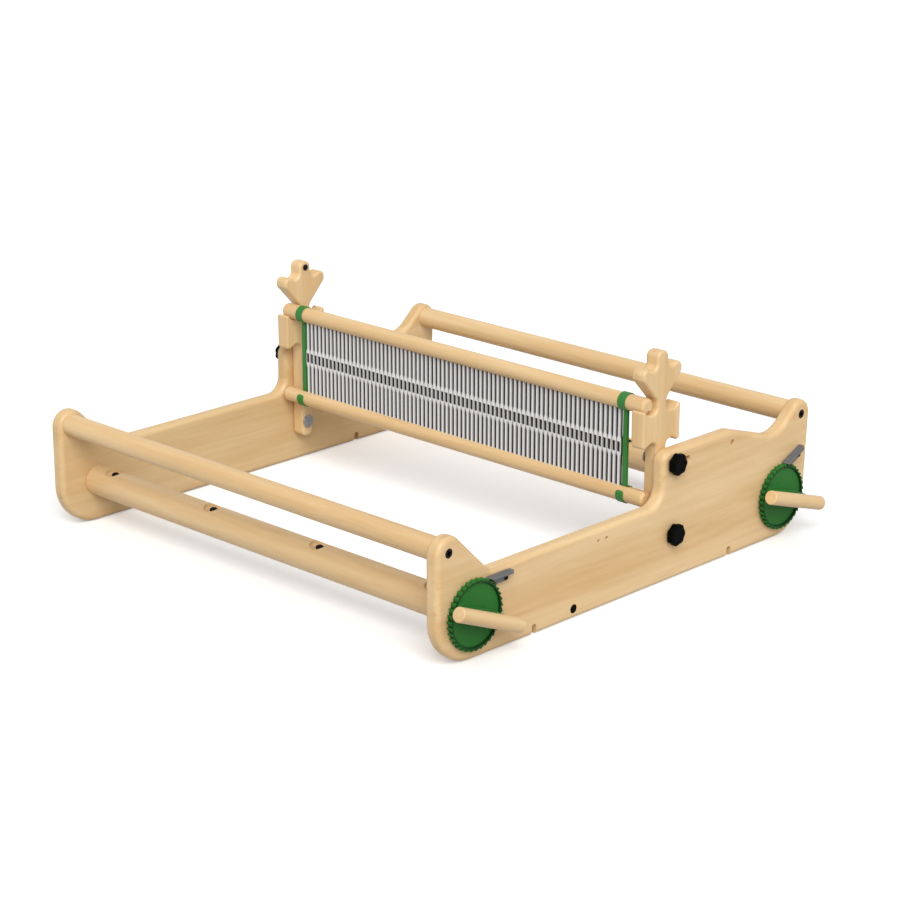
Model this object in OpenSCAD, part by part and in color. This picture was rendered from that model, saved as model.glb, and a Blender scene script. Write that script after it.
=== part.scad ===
// Rigid heddle table loom. Two shaped side panels are joined by a front and a back beam. A cloth
// roller and a warp roller turn between the panels, each with a ratchet wheel, a cross handle and
// a pawl on the right side. Two tilting holders carry the heddle, a reed between two round rods.
// X runs across the loom, Y from the weaver to the back and Z up. The origin lies on the table
// plane, midway between the panels and midway along them. Inside the modules, Y places are
// measured from the front edge of the panels, and at_front() shifts them once.

/* [Side panels] */
// Clear width between the two side panels
inner_w = 580; // [560:1:900]
// Length of a side panel from front to back
panel_len = 605.5; // [590:0.5:760]
// Thickness of a side panel
panel_t = 18; // [15:0.5:24]
// Radius of the rounded edges of a side panel
panel_edge_r = 6; // [2:0.5:6]
// Height of the low stretch of the top edge
panel_low_h = 90; // [88:0.5:105]
// Height of the raised stretch beside the heddle holders
panel_high_h = 147.8; // [145:0.2:170]
// Radius of the bottom corners, which the handles have to stay inside
panel_corner_r = 50; // [50:0.5:56]
// Height of the front lobe's top above the front beam's axis
front_lobe_over = 16.5; // [14.5:0.1:20]
// Radius of the front lobe
front_lobe_r = 19; // [17:0.5:22]
// Radius of the back lobe
back_lobe_r = 16.4; // [15:0.2:20]
// Radius of the hollow where the low stretch meets the riser
riser_hollow_r = 19; // [8:0.5:26]
// Radius of the shoulder on top of the riser
riser_shoulder_r = 13; // [8:0.5:20]
// Distance of the riser in front of the heddle holders' middle
riser_ahead = 18; // [14:0.5:26]
// Distance of the end of the raised stretch from the back of the panel
raised_end_back = 143.5; // [130:0.5:160]

/* [Beams] */
// Diameter of the front beam and the back beam
beam_d = 25; // [20:0.5:28]
// Height of the front beam's axis
front_beam_h = 122.9; // [115:0.1:140]
// Distance of the front beam's axis from the front edge
front_beam_in = 16.9; // [15:0.1:24]
// Height of the back beam's axis
back_beam_h = 138; // [130:0.5:155]
// Diameter of the beam screws' heads
screw_head_d = 10; // [8:0.1:11]
// Height of the beam screws' heads
screw_head_h = 6; // [4:0.1:7]
// Diameter of the beam screws' shanks
screw_d = 6; // [4:0.1:7]
// Depth of the beam screws in the beams
screw_grip = 36; // [20:1:60]

/* [Rollers] */
// Diameter of the cloth roller and the warp roller
roller_d = 35; // [32:0.5:42]
// Height of both rollers' axes
roller_h = 50; // [50:0.1:54]
// Distance of the cloth roller's axis from the front edge
cloth_roller_in = 50; // [50:0.5:60]
// Distance of the warp roller's axis from the back of the panel
warp_roller_in = 54.1; // [51:0.1:64]
// Diameter of the turned journal that runs in the right panel
journal_d = 20; // [14:0.5:24]
// Diameter of the round recesses along a roller
recess_d = 22; // [16:0.5:26]
// Number of round recesses along a roller
recess_count = 4; // [2:1:6]
// Depth of the round recesses below the roller's highest line
recess_depth = 5.3; // [4:0.1:8]
// Distance of the outermost recesses from the roller's ends
recess_in = 33.7; // [30:0.1:60]
// Diameter of the heads of the cord screws in the recesses
cord_screw_d = 9; // [6:0.1:10]
// Height of the heads of the cord screws
cord_screw_h = 3.8; // [2:0.1:4]
// Diameter of the pivot screw at a roller's left end
pivot_screw_d = 8; // [6:0.1:10]

/* [Ratchets] */
// Number of teeth of a ratchet wheel
tooth_count = 35; // [24:1:40]
// Radius over the tooth tips
tooth_tip_r = 38.4; // [35:0.1:40]
// Height of a tooth
tooth_h = 3; // [2.5:0.1:4]
// Thickness of the wheel over its toothed rim
rim_t = 6; // [5.5:0.1:7]
// Width of the plain rim inside the teeth
rim_w = 1.2; // [1:0.1:3]
// Depth of the wheel's face behind the rim
face_sink = 2.5; // [1:0.1:2.8]
// Gap between the panel and what turns beside it
wheel_gap = 1; // [0.5:0.1:2]
// Width of the saddle that carries the handle, at its middle
saddle_w = 21; // [19:0.5:26]
// Length of the saddle
saddle_len = 62; // [50:1:66]
// Height of the saddle above the wheel's face
saddle_h = 15.5; // [13:0.5:17]
// Diameter of a handle
handle_d = 16; // [12:0.5:17]
// Length of a handle
handle_len = 98; // [80:0.5:98]
// Distance of a handle's axis from the panel's outer face
handle_out = 24.5; // [23.5:0.1:27]
// Slope of the cloth roller's handle, falling towards the back
cloth_handle_slope = 22.6; // [0:0.1:90]
// Slope of the warp roller's handle, falling towards the back
warp_handle_slope = 17.7; // [0:0.1:90]

/* [Pawls] */
// Place of the pawl's pivot behind the roller's axis
pawl_pivot_y = 42.5; // [40:0.1:46]
// Place of the pawl's pivot above the roller's axis
pawl_pivot_z = 28.8; // [27.5:0.1:32]
// Length of the pawl's thumb plate
thumb_len = 35; // [30:0.5:36]
// Width of the thumb plate across the wheel's rim
thumb_w = 10; // [8:0.1:12]
// Thickness of the thumb plate
thumb_t = 2; // [1.5:0.1:2.2]
// Height of the thumb plate's top above the pivot
thumb_rise = 5.8; // [5.4:0.1:6.5]
// Reach of the thumb plate behind the pivot
thumb_back = 10.7; // [9:0.1:14]
// Width of the pawl's lever beside the panel
lever_t = 5.2; // [4:0.1:8]
// Radius of the lever's round end about the pivot
lever_end_r = 3.3; // [3.2:0.1:4.5]
// Diameter of the pawl screws
pawl_screw_d = 4; // [3:0.1:4.2]
// Turn of the warp roller's pawl about the roller's axis
warp_pawl_turn = 24.3; // [0:0.1:30]

/* [Heddle holders] */
// Distance of the holders' middle from the front edge
holder_in = 363.5; // [355:0.5:372]
// Thickness of a holder
holder_t = 18; // [12:0.5:20]
// Radius of a holder's rounded edges
holder_edge_r = 2; // [1:0.1:2.1]
// Height of the clamp bolt that the holder tilts about
pivot_bolt_h = 53.2; // [50:0.1:60]
// Height of the clamp bolt that slides in the panel's slot
slot_bolt_h = 133.5; // [128:0.1:135]
// Largest tilt of the holders towards the back
tilt_max = 15.9; // [8:0.1:18]
// Height of the seats that the heddle's top rod rests in
seat_h = 186.5; // [184:0.5:200]
// Lift of the heddle from its seats to the upper notches
shed_rise = 48.6; // [46:0.1:56]
// Distance of the arches under the blocks below the seats
shed_drop = 32.1; // [30:0.1:34]
// Width of a holder across its blocks
block_w = 61.6; // [60:0.2:66]
// Width of a holder across its upper lobes
lobe_w = 64; // [62:0.2:70]
// Width of the straight shank
shank_w = 16; // [15:0.2:17]
// Width of the waist between blocks and lobes
waist_w = 15; // [13:0.2:16]
// Width of the post on top
post_w = 17.4; // [15:0.2:18]
// Height of the post's top above the upper notches
post_rise = 19.7; // [17:0.1:24]
// Height of the lip in front of a seat
seat_lip_h = 5.5; // [3:0.1:5.6]
// Radius of the notches beside the post and of the arches
notch_r = 7; // [6:0.1:7.5]
// Distance of the holder's foot below its pivot bolt
foot_drop = 19.2; // [14:0.1:24]

/* [Clamp bolts and knobs] */
// Diameter of the clamp bolts
bolt_d = 6; // [5:0.1:6.4]
// Diameter of the clamp bolts' round heads
bolt_head_d = 16.2; // [12:0.1:18]
// Height of the clamp bolts' heads
bolt_head_h = 3.4; // [2:0.1:4]
// Diameter over the lobes of a knob
knob_d = 24; // [22:0.5:28]
// Thickness of a knob's lobed grip
knob_grip_t = 7.5; // [6:0.1:10]
// Height of a knob's collar against the panel
knob_collar_h = 2.5; // [1:0.1:4]
// Number of lobes of a knob
knob_lobes = 7; // [5:1:8]

/* [Heddle] */
// Diameter of the heddle's two rods
rod_d = 18; // [17:0.2:18.4]
// Gap between a rod's end and the side panel
rod_side_gap = 4.3; // [0.5:0.1:10]
// Distance between the axes of the two rods
rod_spread = 105; // [95:0.5:112]
// Distance of the rods in front of the holders' middle
rod_ahead = 18.4; // [18:0.1:18.6]
// Width of the reed between its end clips
reed_w = 500.025; // [400.025:0.5:512.025]
// Distance from one blade to the next
blade_pitch = 6.667; // [6:0.001:8]
// Width of a blade along the rods
blade_w = 4.6; // [3:0.1:4.8]
// Depth of a blade from front to back
blade_depth = 5; // [3:0.1:6]
// Width of a blade beside its eye
eye_block_w = 5.8; // [5.2:0.1:5.9]
// Width of an eye
eye_w = 3.6; // [2:0.1:4]
// Height of an eye
eye_h = 12; // [8:0.5:16]
// Gap between the reed's end and an end clip's bar
clip_gap = 1.788; // [1.488:0.1:4.988]
// Width of an end clip's rings
clip_ring_w = 10.5; // [8:0.1:12]
// Thickness of an end clip's rings
clip_ring_t = 1.1; // [0.8:0.1:1.5]
// Width of an end clip's bar
clip_bar_w = 6; // [4:0.1:7]
// Depth of an end clip's bar
clip_bar_depth = 4; // [3:0.1:5]

/* [Panel holes] */
// Diameter of the accessory holes through the panels
accessory_hole_d = 6; // [4:0.1:8]
// Distance of the accessory holes behind the holders' middle
accessory_hole_back = 100.4; // [92:0.1:110]
// Height of the accessory holes
accessory_hole_h = 133.7; // [125:0.1:136]
// Diameter of the two pilot holes in a panel's outer face
pilot_hole_d = 4; // [2:0.1:5]
// Distance between the two pilot holes
pilot_hole_gap = 12.8; // [8:0.1:20]
// Distance of the pilot holes' middle in front of the holders' middle
pilot_hole_ahead = 115.7; // [100:0.1:130]
// Height of the pilot holes
pilot_hole_h = 76.8; // [60:0.1:80]
// Diameter of the plug low on a panel's outer face
plug_d = 10; // [6:0.1:12]
// Distance of the plug from the front edge
plug_in = 203.5; // [180:0.5:230]
// Height of the plug
plug_h = 11.3; // [11.2:0.1:20]
// Width of the notches in a panel's bottom edge
foot_notch_w = 7; // [5:0.1:9]
// Height of the notches in a panel's bottom edge
foot_notch_h = 12; // [8:0.1:16]
// Distance of the first notch from the front edge, and of the last from the back
foot_notch_in = 142.3; // [125:0.1:160]

/* [Hidden] */
// Fits and clearances
overrun = 1;
run_fit = 0.06;
loose_gap = 0.3;
end_play = 0.4;
slot_play = 0.4;
sink = 0.2;

// Slopes in degrees
front_slope = 44.6;
raised_slope = 17.4;
back_slope = 42;
block_slope = 26.6;
lobe_slope = 26.7;
neck_slope = 47;
lip_slope = 55;

// Radii of the smaller corners
front_foot_r = 8;
raised_end_r = 8;
back_dip_r = 38;
lobe_top_r = 6.5;
lobe_low_r = 5;
neck_r = 8;
neck_low_r = 7;
lip_r = 2.4;
block_top_r = 2.3;
block_low_r = 4;
arch_r = 7.5;
foot_r = 7;
post_r = 7;

// Height of a holder's neck above its seats
neck_rise = 14.4;

// Depths of blind holes and of what sits in them
pilot_hole_depth = 12;
plug_depth = 8;
plug_proud = 0.3;
cord_screw_grip = 9;
cord_shank_d = 3.5;
pivot_screw_gap = 3;
pivot_head_d = 13;
pivot_head_h = 8;
pivot_head_gap = 0.7;
journal_seat = 3;
head_gap = 0.2;
handle_screw_d = 4;
handle_screw_place = 20;
handle_screw_grip = 9;
handle_end_r = 1.2;
rod_end_r = 4;
roller_end_r = 0.6;
pawl_screw_grip = 12;
pawl_head_d = 5.4;
pawl_head_h = 1.4;
thumb_corner_r = 3;
thumb_rib_h = 0.4;
thumb_rib_w = 0.7;
thumb_ribs = 5;
tip_gap = 0.45;
post_screw_d = 7.4;
post_screw_h = 2.4;
post_screw_shank_d = 3.5;
post_screw_grip = 12;
post_screw_drop = 7;
rail_depth = 3.2;
rail_h = 4.6;
rail_gap = 0.1;
flare_h = 5;
knob_web_share = 0.78;
knob_collar_share = 0.6;
bolt_in_knob_share = 0.8;
socket_share = 0.5;
saddle_draft_share = 0.95;
saddle_end_share = 0.8;
tooth_lean_share = 0.1;
blade_flank_share = 0.4;
clip_open = 55;

// How finely arcs are drawn
fine_from_r = 30;
fine_step = 7.5;
coarse_step = 18;
edge_steps = 3;
$fn = 64;

// Places worked out from the sizes above
inner_x = inner_w / 2;
outer_x = inner_x + panel_t;
front_lobe_c = [front_lobe_r, front_beam_h + front_lobe_over - front_lobe_r];
back_beam_c = [panel_len - back_lobe_r, back_beam_h];
cloth_c = [cloth_roller_in, roller_h];
warp_c = [panel_len - warp_roller_in, roller_h];
front_corner_c = [panel_corner_r, panel_corner_r];
back_corner_c = [warp_c[0] + roller_h - panel_corner_r, panel_corner_r];
tilt_travel = (slot_bolt_h - pivot_bolt_h) * tan(tilt_max);
slot_r = bolt_d / 2 + slot_play;
slot_stretch = (slot_bolt_h - pivot_bolt_h) / cos(tilt_max) - (slot_bolt_h - pivot_bolt_h);
holder_out_x = inner_x - loose_gap;
holder_in_x = holder_out_x - holder_t;
rod_len = inner_w - 2 * rod_side_gap;
rod_h = seat_h + rod_d / 2 + loose_gap;
rod_low_h = rod_h - rod_spread;
reed_top = rod_h - rod_d / 2 - rail_gap;
reed_low = rod_low_h + rod_d / 2 + rail_gap;
reed_mid = (reed_top + reed_low) / 2;
blade_count = round(reed_w / blade_pitch);
clip_place = reed_w / 2 + clip_gap + clip_bar_w / 2;
root_r = tooth_tip_r - tooth_h;

// Unit vector at an angle
function unit(a) = [cos(a), sin(a)];

// Angle of the line from p to q
function heading(p, q) = atan2(q[1] - p[1], q[0] - p[0]);

// Turn from heading a to heading b, between minus and plus a half turn
function turn_between(a, b) =
    let (d = (b - a) % 360)
    d > 180 ? d - 360 : d < -180 ? d + 360 : d;

// Point where the line from p at heading a meets the line from q at heading b
function meet(p, a, q, b) =
    p + unit(a) * cross(q - p, unit(b)) / cross(unit(a), unit(b));

// Sharp corner whose rounding is the circle c, r, between headings a and b of a clockwise path
function corner_of(c, r, a, b) =
    concat(c + unit((a + b) / 2 + 90) * r / cos((a - b) / 2), r);

// Outward direction of the line that touches two circles on their right-hand side
function touch_normal(c1, r1, c2, r2) =
    heading(c2, c1) - acos((r2 - r1) / norm(c1 - c2));

// Arc at one corner [y, z, radius] of a clockwise path, as points with outward directions
function corner_arc(before, corner, after) =
    let (a = heading(before, corner),
         turn = turn_between(a, heading(corner, after)),
         side = sign(turn),
         r = corner[2],
         start = [corner[0], corner[1]] - unit(a) * r * tan(abs(turn) / 2),
         c = start + unit(a + 90 * side) * r,
         n = ceil(abs(turn) / (r > fine_from_r ? fine_step : coarse_step)))
    [for (k = [0:n]) let (h = a + turn * k / n) [c + unit(h - 90 * side) * r, unit(h + 90)]];

// Whole outline with every corner rounded
function rounded_path(corners) =
    let (n = len(corners))
    [for (i = [0:n - 1])
        each corner_arc(corners[(i + n - 1) % n], corners[i], corners[(i + 1) % n])];

// Quarter round from [r - e, 0] to [r, e], for the profile of a turned piece
function quarter(r, e) =
    [for (k = [0:edge_steps]) let (a = 90 * k / edge_steps) [r - e + e * sin(a), e - e * cos(a)]];

module at_front() {
    translate([0, -panel_len / 2, 0]) children();
}

// Round bar along X between two places
module x_bar(r, x0, x1, c) {
    translate([x0, c[0], c[1]]) rotate([0, 90, 0]) cylinder(r = r, h = x1 - x0);
}

// Round bar along X with rounded rims
module x_turned(r, x0, x1, c, e) {
    length = x1 - x0;
    rim = quarter(r, e);
    far = [for (i = [len(rim) - 1:-1:0]) [rim[i][0], length - rim[i][1]]];
    translate([x0, c[0], c[1]]) rotate([0, 90, 0]) rotate_extrude()
        polygon(concat([[0, 0]], rim, far, [[0, length]]));
}

// Plate in the YZ plane from x = 0 to its thickness, with rounded edges: a flat core inside a
// ring. Each row of the ring's points is the outline moved inwards by what the quarter round
// takes off at that depth, and the last row closes on the first along the core's edge.
module rounded_plate(path, t, e) {
    n = len(path);
    near = [for (k = [0:edge_steps]) let (a = 90 * k / edge_steps) [e - e * cos(a), e - e * sin(a)]];
    far = [for (k = [edge_steps:-1:0]) [t - near[k][0], near[k][1]]];
    rows = concat(near, far);
    row_count = len(rows);
    rotate([90, 0, 90]) linear_extrude(t) polygon([for (p = path) p[0] - p[1] * e]);
    polyhedron(
        points = [for (row = rows) for (p = path)
            [row[0], p[0][0] - p[1][0] * row[1], p[0][1] - p[1][1] * row[1]]],
        faces = [for (j = [0:row_count - 1]) for (i = [0:n - 1])
            let (j2 = (j + 1) % row_count, k = (i + 1) % n)
            [j * n + i, j * n + k, j2 * n + k, j2 * n + i]]);
}

// Outline of a side panel, clockwise from the bottom front corner
panel_path =
    let (back_normal = touch_normal(back_beam_c, back_lobe_r, back_corner_c, panel_corner_r),
         back_down = back_normal - 90,
         lobe = corner_of(front_lobe_c, front_lobe_r, 90, -front_slope),
         foot = meet([lobe[0], lobe[1]], -front_slope, [0, panel_low_h], 0),
         riser = holder_in - riser_ahead,
         back_lobe = corner_of(back_beam_c, back_lobe_r, back_slope, back_down),
         raised_end = [panel_len - raised_end_back, panel_high_h],
         dip = meet(raised_end, -raised_slope, [back_lobe[0], back_lobe[1]], back_slope))
    rounded_path([
        corner_of(front_corner_c, panel_corner_r, -180, -270),
        lobe,
        concat(foot, front_foot_r),
        [riser, panel_low_h, riser_hollow_r],
        [riser, panel_high_h, riser_shoulder_r],
        concat(raised_end, raised_end_r),
        concat(dip, back_dip_r),
        back_lobe,
        corner_of(back_corner_c, panel_corner_r, back_down, -180)
    ]);

// Outline of a heddle holder. Its half is listed from the post's top down to the foot.
holder_path =
    let (waist = waist_w / 2,
         lobe = lobe_w / 2,
         post = post_w / 2,
         block = block_w / 2,
         shank = shank_w / 2,
         notch_low = seat_h + shed_rise - notch_r * (tan((90 + lobe_slope) / 2) - 1),
         neck = seat_h + neck_rise,
         seat_r = rod_d / 2 + loose_gap,
         rise_at = rod_ahead + seat_r * tan(lip_slope / 2),
         arch = seat_h - shed_drop + arch_r * (tan((90 + block_slope) / 2) - 1),
         half = [
            [post, seat_h + shed_rise + post_rise, post_r],
            [post, notch_low, notch_r],
            [lobe, notch_low + (lobe - post) * tan(lobe_slope), lobe_top_r],
            [lobe, neck + (lobe - waist) * tan(neck_slope), lobe_low_r],
            [waist, neck, neck_r],
            [waist, seat_h, neck_low_r],
            [rise_at, seat_h, seat_r],
            [rise_at + seat_lip_h / tan(lip_slope), seat_h + seat_lip_h, lip_r],
            [block, seat_h + seat_lip_h, block_top_r],
            [block, arch - (block - shank) * tan(block_slope), block_low_r],
            [shank, arch, arch_r],
            [shank, pivot_bolt_h - foot_drop, foot_r]
         ],
         n = len(half))
    rounded_path(concat(
        [for (i = [n - 1:-1:0]) [holder_in - half[i][0], half[i][1], half[i][2]]],
        [for (i = [0:n - 1]) [holder_in + half[i][0], half[i][1], half[i][2]]]));

// Right side panel without its bearings
module panel_blank() {
    difference() {
        translate([inner_x, 0, 0]) rounded_plate(panel_path, panel_t, panel_edge_r);
        for (c = [[front_beam_in, front_beam_h], back_beam_c]) {
            x_bar(screw_d / 2, inner_x - overrun, outer_x + overrun, c);
            x_bar(screw_head_d / 2 + head_gap, outer_x - screw_head_h - sink, outer_x + overrun, c);
        }
        x_bar(bolt_d / 2 + run_fit, inner_x - overrun, outer_x + overrun, [holder_in, pivot_bolt_h]);
        for (y = [holder_in - slot_play, holder_in + tilt_travel + slot_play])
            x_bar(slot_r, inner_x - overrun, outer_x + overrun, [y, slot_bolt_h]);
        translate([inner_x - overrun, holder_in - slot_play, slot_bolt_h - slot_r])
            cube([panel_t + 2 * overrun, tilt_travel + 2 * slot_play, 2 * slot_r]);
        x_bar(accessory_hole_d / 2, inner_x - overrun, outer_x + overrun,
            [holder_in + accessory_hole_back, accessory_hole_h]);
        for (side = [-1, 1])
            x_bar(pilot_hole_d / 2, outer_x - pilot_hole_depth, outer_x + overrun,
                [holder_in - pilot_hole_ahead + side * pilot_hole_gap / 2, pilot_hole_h]);
        x_bar(plug_d / 2, outer_x - plug_depth, outer_x + overrun, [plug_in, plug_h]);
        for (y = [foot_notch_in, panel_len - foot_notch_in]) {
            x_bar(foot_notch_w / 2, inner_x - overrun, outer_x + overrun,
                [y, foot_notch_h - foot_notch_w / 2]);
            translate([inner_x - overrun, y - foot_notch_w / 2, -overrun])
                cube([panel_t + 2 * overrun, foot_notch_w, foot_notch_h - foot_notch_w / 2 + overrun]);
        }
    }
}

// Place of a pawl's pivot, for a wheel at c and a pawl turned by an angle about it
function pawl_place(c, turn) =
    c + [pawl_pivot_y * cos(turn) - pawl_pivot_z * sin(turn),
         pawl_pivot_y * sin(turn) + pawl_pivot_z * cos(turn)];

module right_side_panel() {
    color("burlywood") at_front() difference() {
        panel_blank();
        for (c = [cloth_c, warp_c])
            x_bar(journal_d / 2 + run_fit, inner_x - overrun, outer_x + overrun, c);
        for (c = [pawl_place(cloth_c, 0), pawl_place(warp_c, warp_pawl_turn)])
            x_bar(pawl_screw_d / 2, outer_x - pawl_screw_grip, outer_x + overrun, c);
    }
}

module left_side_panel() {
    color("burlywood") at_front() difference() {
        mirror([1, 0, 0]) panel_blank();
        for (c = [cloth_c, warp_c]) {
            x_bar(pivot_screw_d / 2 + run_fit, -outer_x - overrun, -inner_x + overrun, c);
            x_bar(pivot_head_d / 2 + pivot_head_gap, -outer_x - overrun,
                -outer_x + pivot_head_h + end_play + sink, c);
        }
    }
}

module beam(c) {
    color("burlywood") at_front() difference() {
        x_bar(beam_d / 2, -inner_x, inner_x, c);
        for (side = [-1, 1])
            x_bar(screw_d / 2, min(side * (inner_x - screw_grip), side * (inner_x + overrun)),
                max(side * (inner_x - screw_grip), side * (inner_x + overrun)), c);
    }
}

// Pair of socket head screws through the panels into a beam
module beam_screws(c) {
    seat = outer_x - screw_head_h - sink;
    color("dimgray") at_front() for (side = [0, 1]) mirror([side, 0, 0]) difference() {
        union() {
            x_bar(screw_d / 2, inner_x - screw_grip, seat + overrun, c);
            x_bar(screw_head_d / 2, seat, seat + screw_head_h, c);
        }
        translate([seat + screw_head_h * socket_share, c[0], c[1]]) rotate([0, 90, 0])
            cylinder(r = screw_head_d * socket_share / 2, h = screw_head_h, $fn = 6);
    }
}

module front_beam() {
    beam([front_beam_in, front_beam_h]);
}

module back_beam() {
    beam(back_beam_c);
}

module front_beam_screws() {
    beam_screws([front_beam_in, front_beam_h]);
}

module back_beam_screws() {
    beam_screws(back_beam_c);
}

module panel_plugs() {
    color("dimgray") at_front() for (side = [0, 1]) mirror([side, 0, 0])
        x_bar(plug_d / 2, outer_x - plug_depth, outer_x + plug_proud, [plug_in, plug_h]);
}

// Places of the recesses along a roller, and of the pivot screw's end short of the first
roller_end = inner_x - end_play;
recess_pitch = 2 * (roller_end - recess_in) / (recess_count - 1);
recess_xs = [for (k = [0:recess_count - 1]) recess_in - roller_end + k * recess_pitch];
pivot_screw_end = recess_xs[0] - recess_d / 2 - pivot_screw_gap;

module roller(c) {
    floor_z = c[1] + roller_d / 2 - recess_depth;
    color("burlywood") at_front() difference() {
        union() {
            x_turned(roller_d / 2, -roller_end, roller_end, c, roller_end_r);
            x_bar(journal_d / 2, roller_end - overrun, outer_x + wheel_gap + journal_seat, c);
        }
        for (x = recess_xs) {
            translate([x, c[0], floor_z]) cylinder(r = recess_d / 2, h = recess_depth + overrun);
            translate([x, c[0], floor_z - cord_screw_grip])
                cylinder(r = cord_shank_d / 2, h = cord_screw_grip + overrun);
        }
        x_bar(pivot_screw_d / 2, -roller_end - overrun, pivot_screw_end, c);
    }
}

// Screws in the recesses, for the cords of the apron bars
module cord_screws(c) {
    floor_z = c[1] + roller_d / 2 - recess_depth;
    dome = quarter(cord_screw_d / 2, cord_screw_h / 2);
    color("dimgray") at_front() for (x = recess_xs) translate([x, c[0], floor_z]) union() {
        translate([0, 0, -cord_screw_grip]) cylinder(r = cord_shank_d / 2, h = cord_screw_grip + overrun);
        rotate_extrude() polygon(concat([[0, 0], [cord_screw_d / 2, 0]],
            [for (i = [len(dome) - 1:-1:0]) [dome[i][0], cord_screw_h - dome[i][1]]],
            [[0, cord_screw_h]]));
    }
}

// Screw that carries a roller's left end and turns with it
module pivot_screw(c) {
    head_x = -outer_x + sink;
    color("dimgray") at_front() difference() {
        union() {
            x_bar(pivot_screw_d / 2, head_x + pivot_head_h - overrun, pivot_screw_end, c);
            x_bar(pivot_head_d / 2, head_x, head_x + pivot_head_h, c);
        }
        translate([head_x - overrun, c[0], c[1]]) rotate([0, 90, 0])
            cylinder(r = pivot_head_d * socket_share / 2, h = pivot_head_h * socket_share + overrun, $fn = 6);
    }
}

// Ratchet wheel: a toothed rim round a sunk face, and a saddle that is widest at its middle. A
// tooth's steep face looks clockwise, seen from the right.
module ratchet_wheel(c, slope) {
    pitch_a = 360 / tooth_count;
    back_x = outer_x + wheel_gap;
    face_x = back_x + rim_t - face_sink;
    end_w = saddle_w * saddle_end_share;
    color("darkgreen") at_front() difference() {
        union() {
            difference() {
                translate([back_x, c[0], c[1]]) rotate([90, 0, 90]) linear_extrude(rim_t)
                    polygon([for (i = [0:tooth_count - 1]) each [
                        unit(i * pitch_a) * root_r, unit((i + tooth_lean_share) * pitch_a) * tooth_tip_r]]);
                x_bar(root_r - rim_w, face_x, back_x + rim_t + overrun, c);
            }
            translate([face_x - sink, c[0], c[1]]) rotate([-slope, 0, 0]) hull() for (side = [-1:1])
                translate([0, side * (saddle_len - end_w) / 2, 0]) rotate([0, 90, 0])
                    cylinder(r1 = (side == 0 ? saddle_w : end_w) / 2, h = saddle_h + sink, $fn = 32,
                        r2 = (side == 0 ? saddle_w : end_w) * saddle_draft_share / 2);
        }
        x_bar(journal_d / 2, back_x - overrun, back_x + journal_seat, c);
        translate([outer_x + handle_out, c[0], c[1]]) rotate([-slope, 0, 0]) {
            rotate([90, 0, 0]) cylinder(r = handle_d / 2, h = handle_len, center = true);
            for (side = [-1, 1]) translate([0, side * handle_screw_place, 0]) rotate([0, -90, 0])
                cylinder(r = handle_screw_d / 2, h = handle_out);
        }
    }
}

// Cross handle lying in the wheel's saddle
module handle(c, slope) {
    rim = quarter(handle_d / 2, handle_end_r);
    far = [for (i = [len(rim) - 1:-1:0]) [rim[i][0], handle_len - rim[i][1]]];
    color("burlywood") at_front() translate([outer_x + handle_out, c[0], c[1]])
        rotate([-slope, 0, 0]) difference() {
            translate([0, handle_len / 2, 0]) rotate([90, 0, 0]) rotate_extrude()
                polygon(concat([[0, 0]], rim, far, [[0, handle_len]]));
            for (side = [-1, 1]) translate([0, side * handle_screw_place, 0]) rotate([0, -90, 0])
                translate([0, 0, handle_d / 2 - handle_screw_grip])
                    cylinder(r = handle_screw_d / 2, h = handle_screw_grip);
        }
}

// Two screws from the back of the wheel through the saddle into the handle
module handle_screws(c, slope) {
    start = handle_out - wheel_gap;
    color("dimgray") at_front() translate([outer_x + handle_out, c[0], c[1]])
        rotate([-slope, 0, 0]) for (side = [-1, 1])
            translate([0, side * handle_screw_place, 0]) rotate([0, -90, 0])
                translate([0, 0, handle_d / 2 - handle_screw_grip])
                    cylinder(r = handle_screw_d / 2, h = start - handle_d / 2 + handle_screw_grip);
}

module cloth_roller() {
    roller(cloth_c);
}

module warp_roller() {
    roller(warp_c);
}

module cloth_roller_cord_screws() {
    cord_screws(cloth_c);
}

module warp_roller_cord_screws() {
    cord_screws(warp_c);
}

module cloth_roller_pivot_screw() {
    pivot_screw(cloth_c);
}

module warp_roller_pivot_screw() {
    pivot_screw(warp_c);
}

module cloth_ratchet_wheel() {
    ratchet_wheel(cloth_c, cloth_handle_slope);
}

module warp_ratchet_wheel() {
    ratchet_wheel(warp_c, warp_handle_slope);
}

module cloth_handle() {
    handle(cloth_c, cloth_handle_slope);
}

module warp_handle() {
    handle(warp_c, warp_handle_slope);
}

module cloth_handle_screws() {
    handle_screws(cloth_c, cloth_handle_slope);
}

module warp_handle_screws() {
    handle_screws(warp_c, warp_handle_slope);
}

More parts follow.
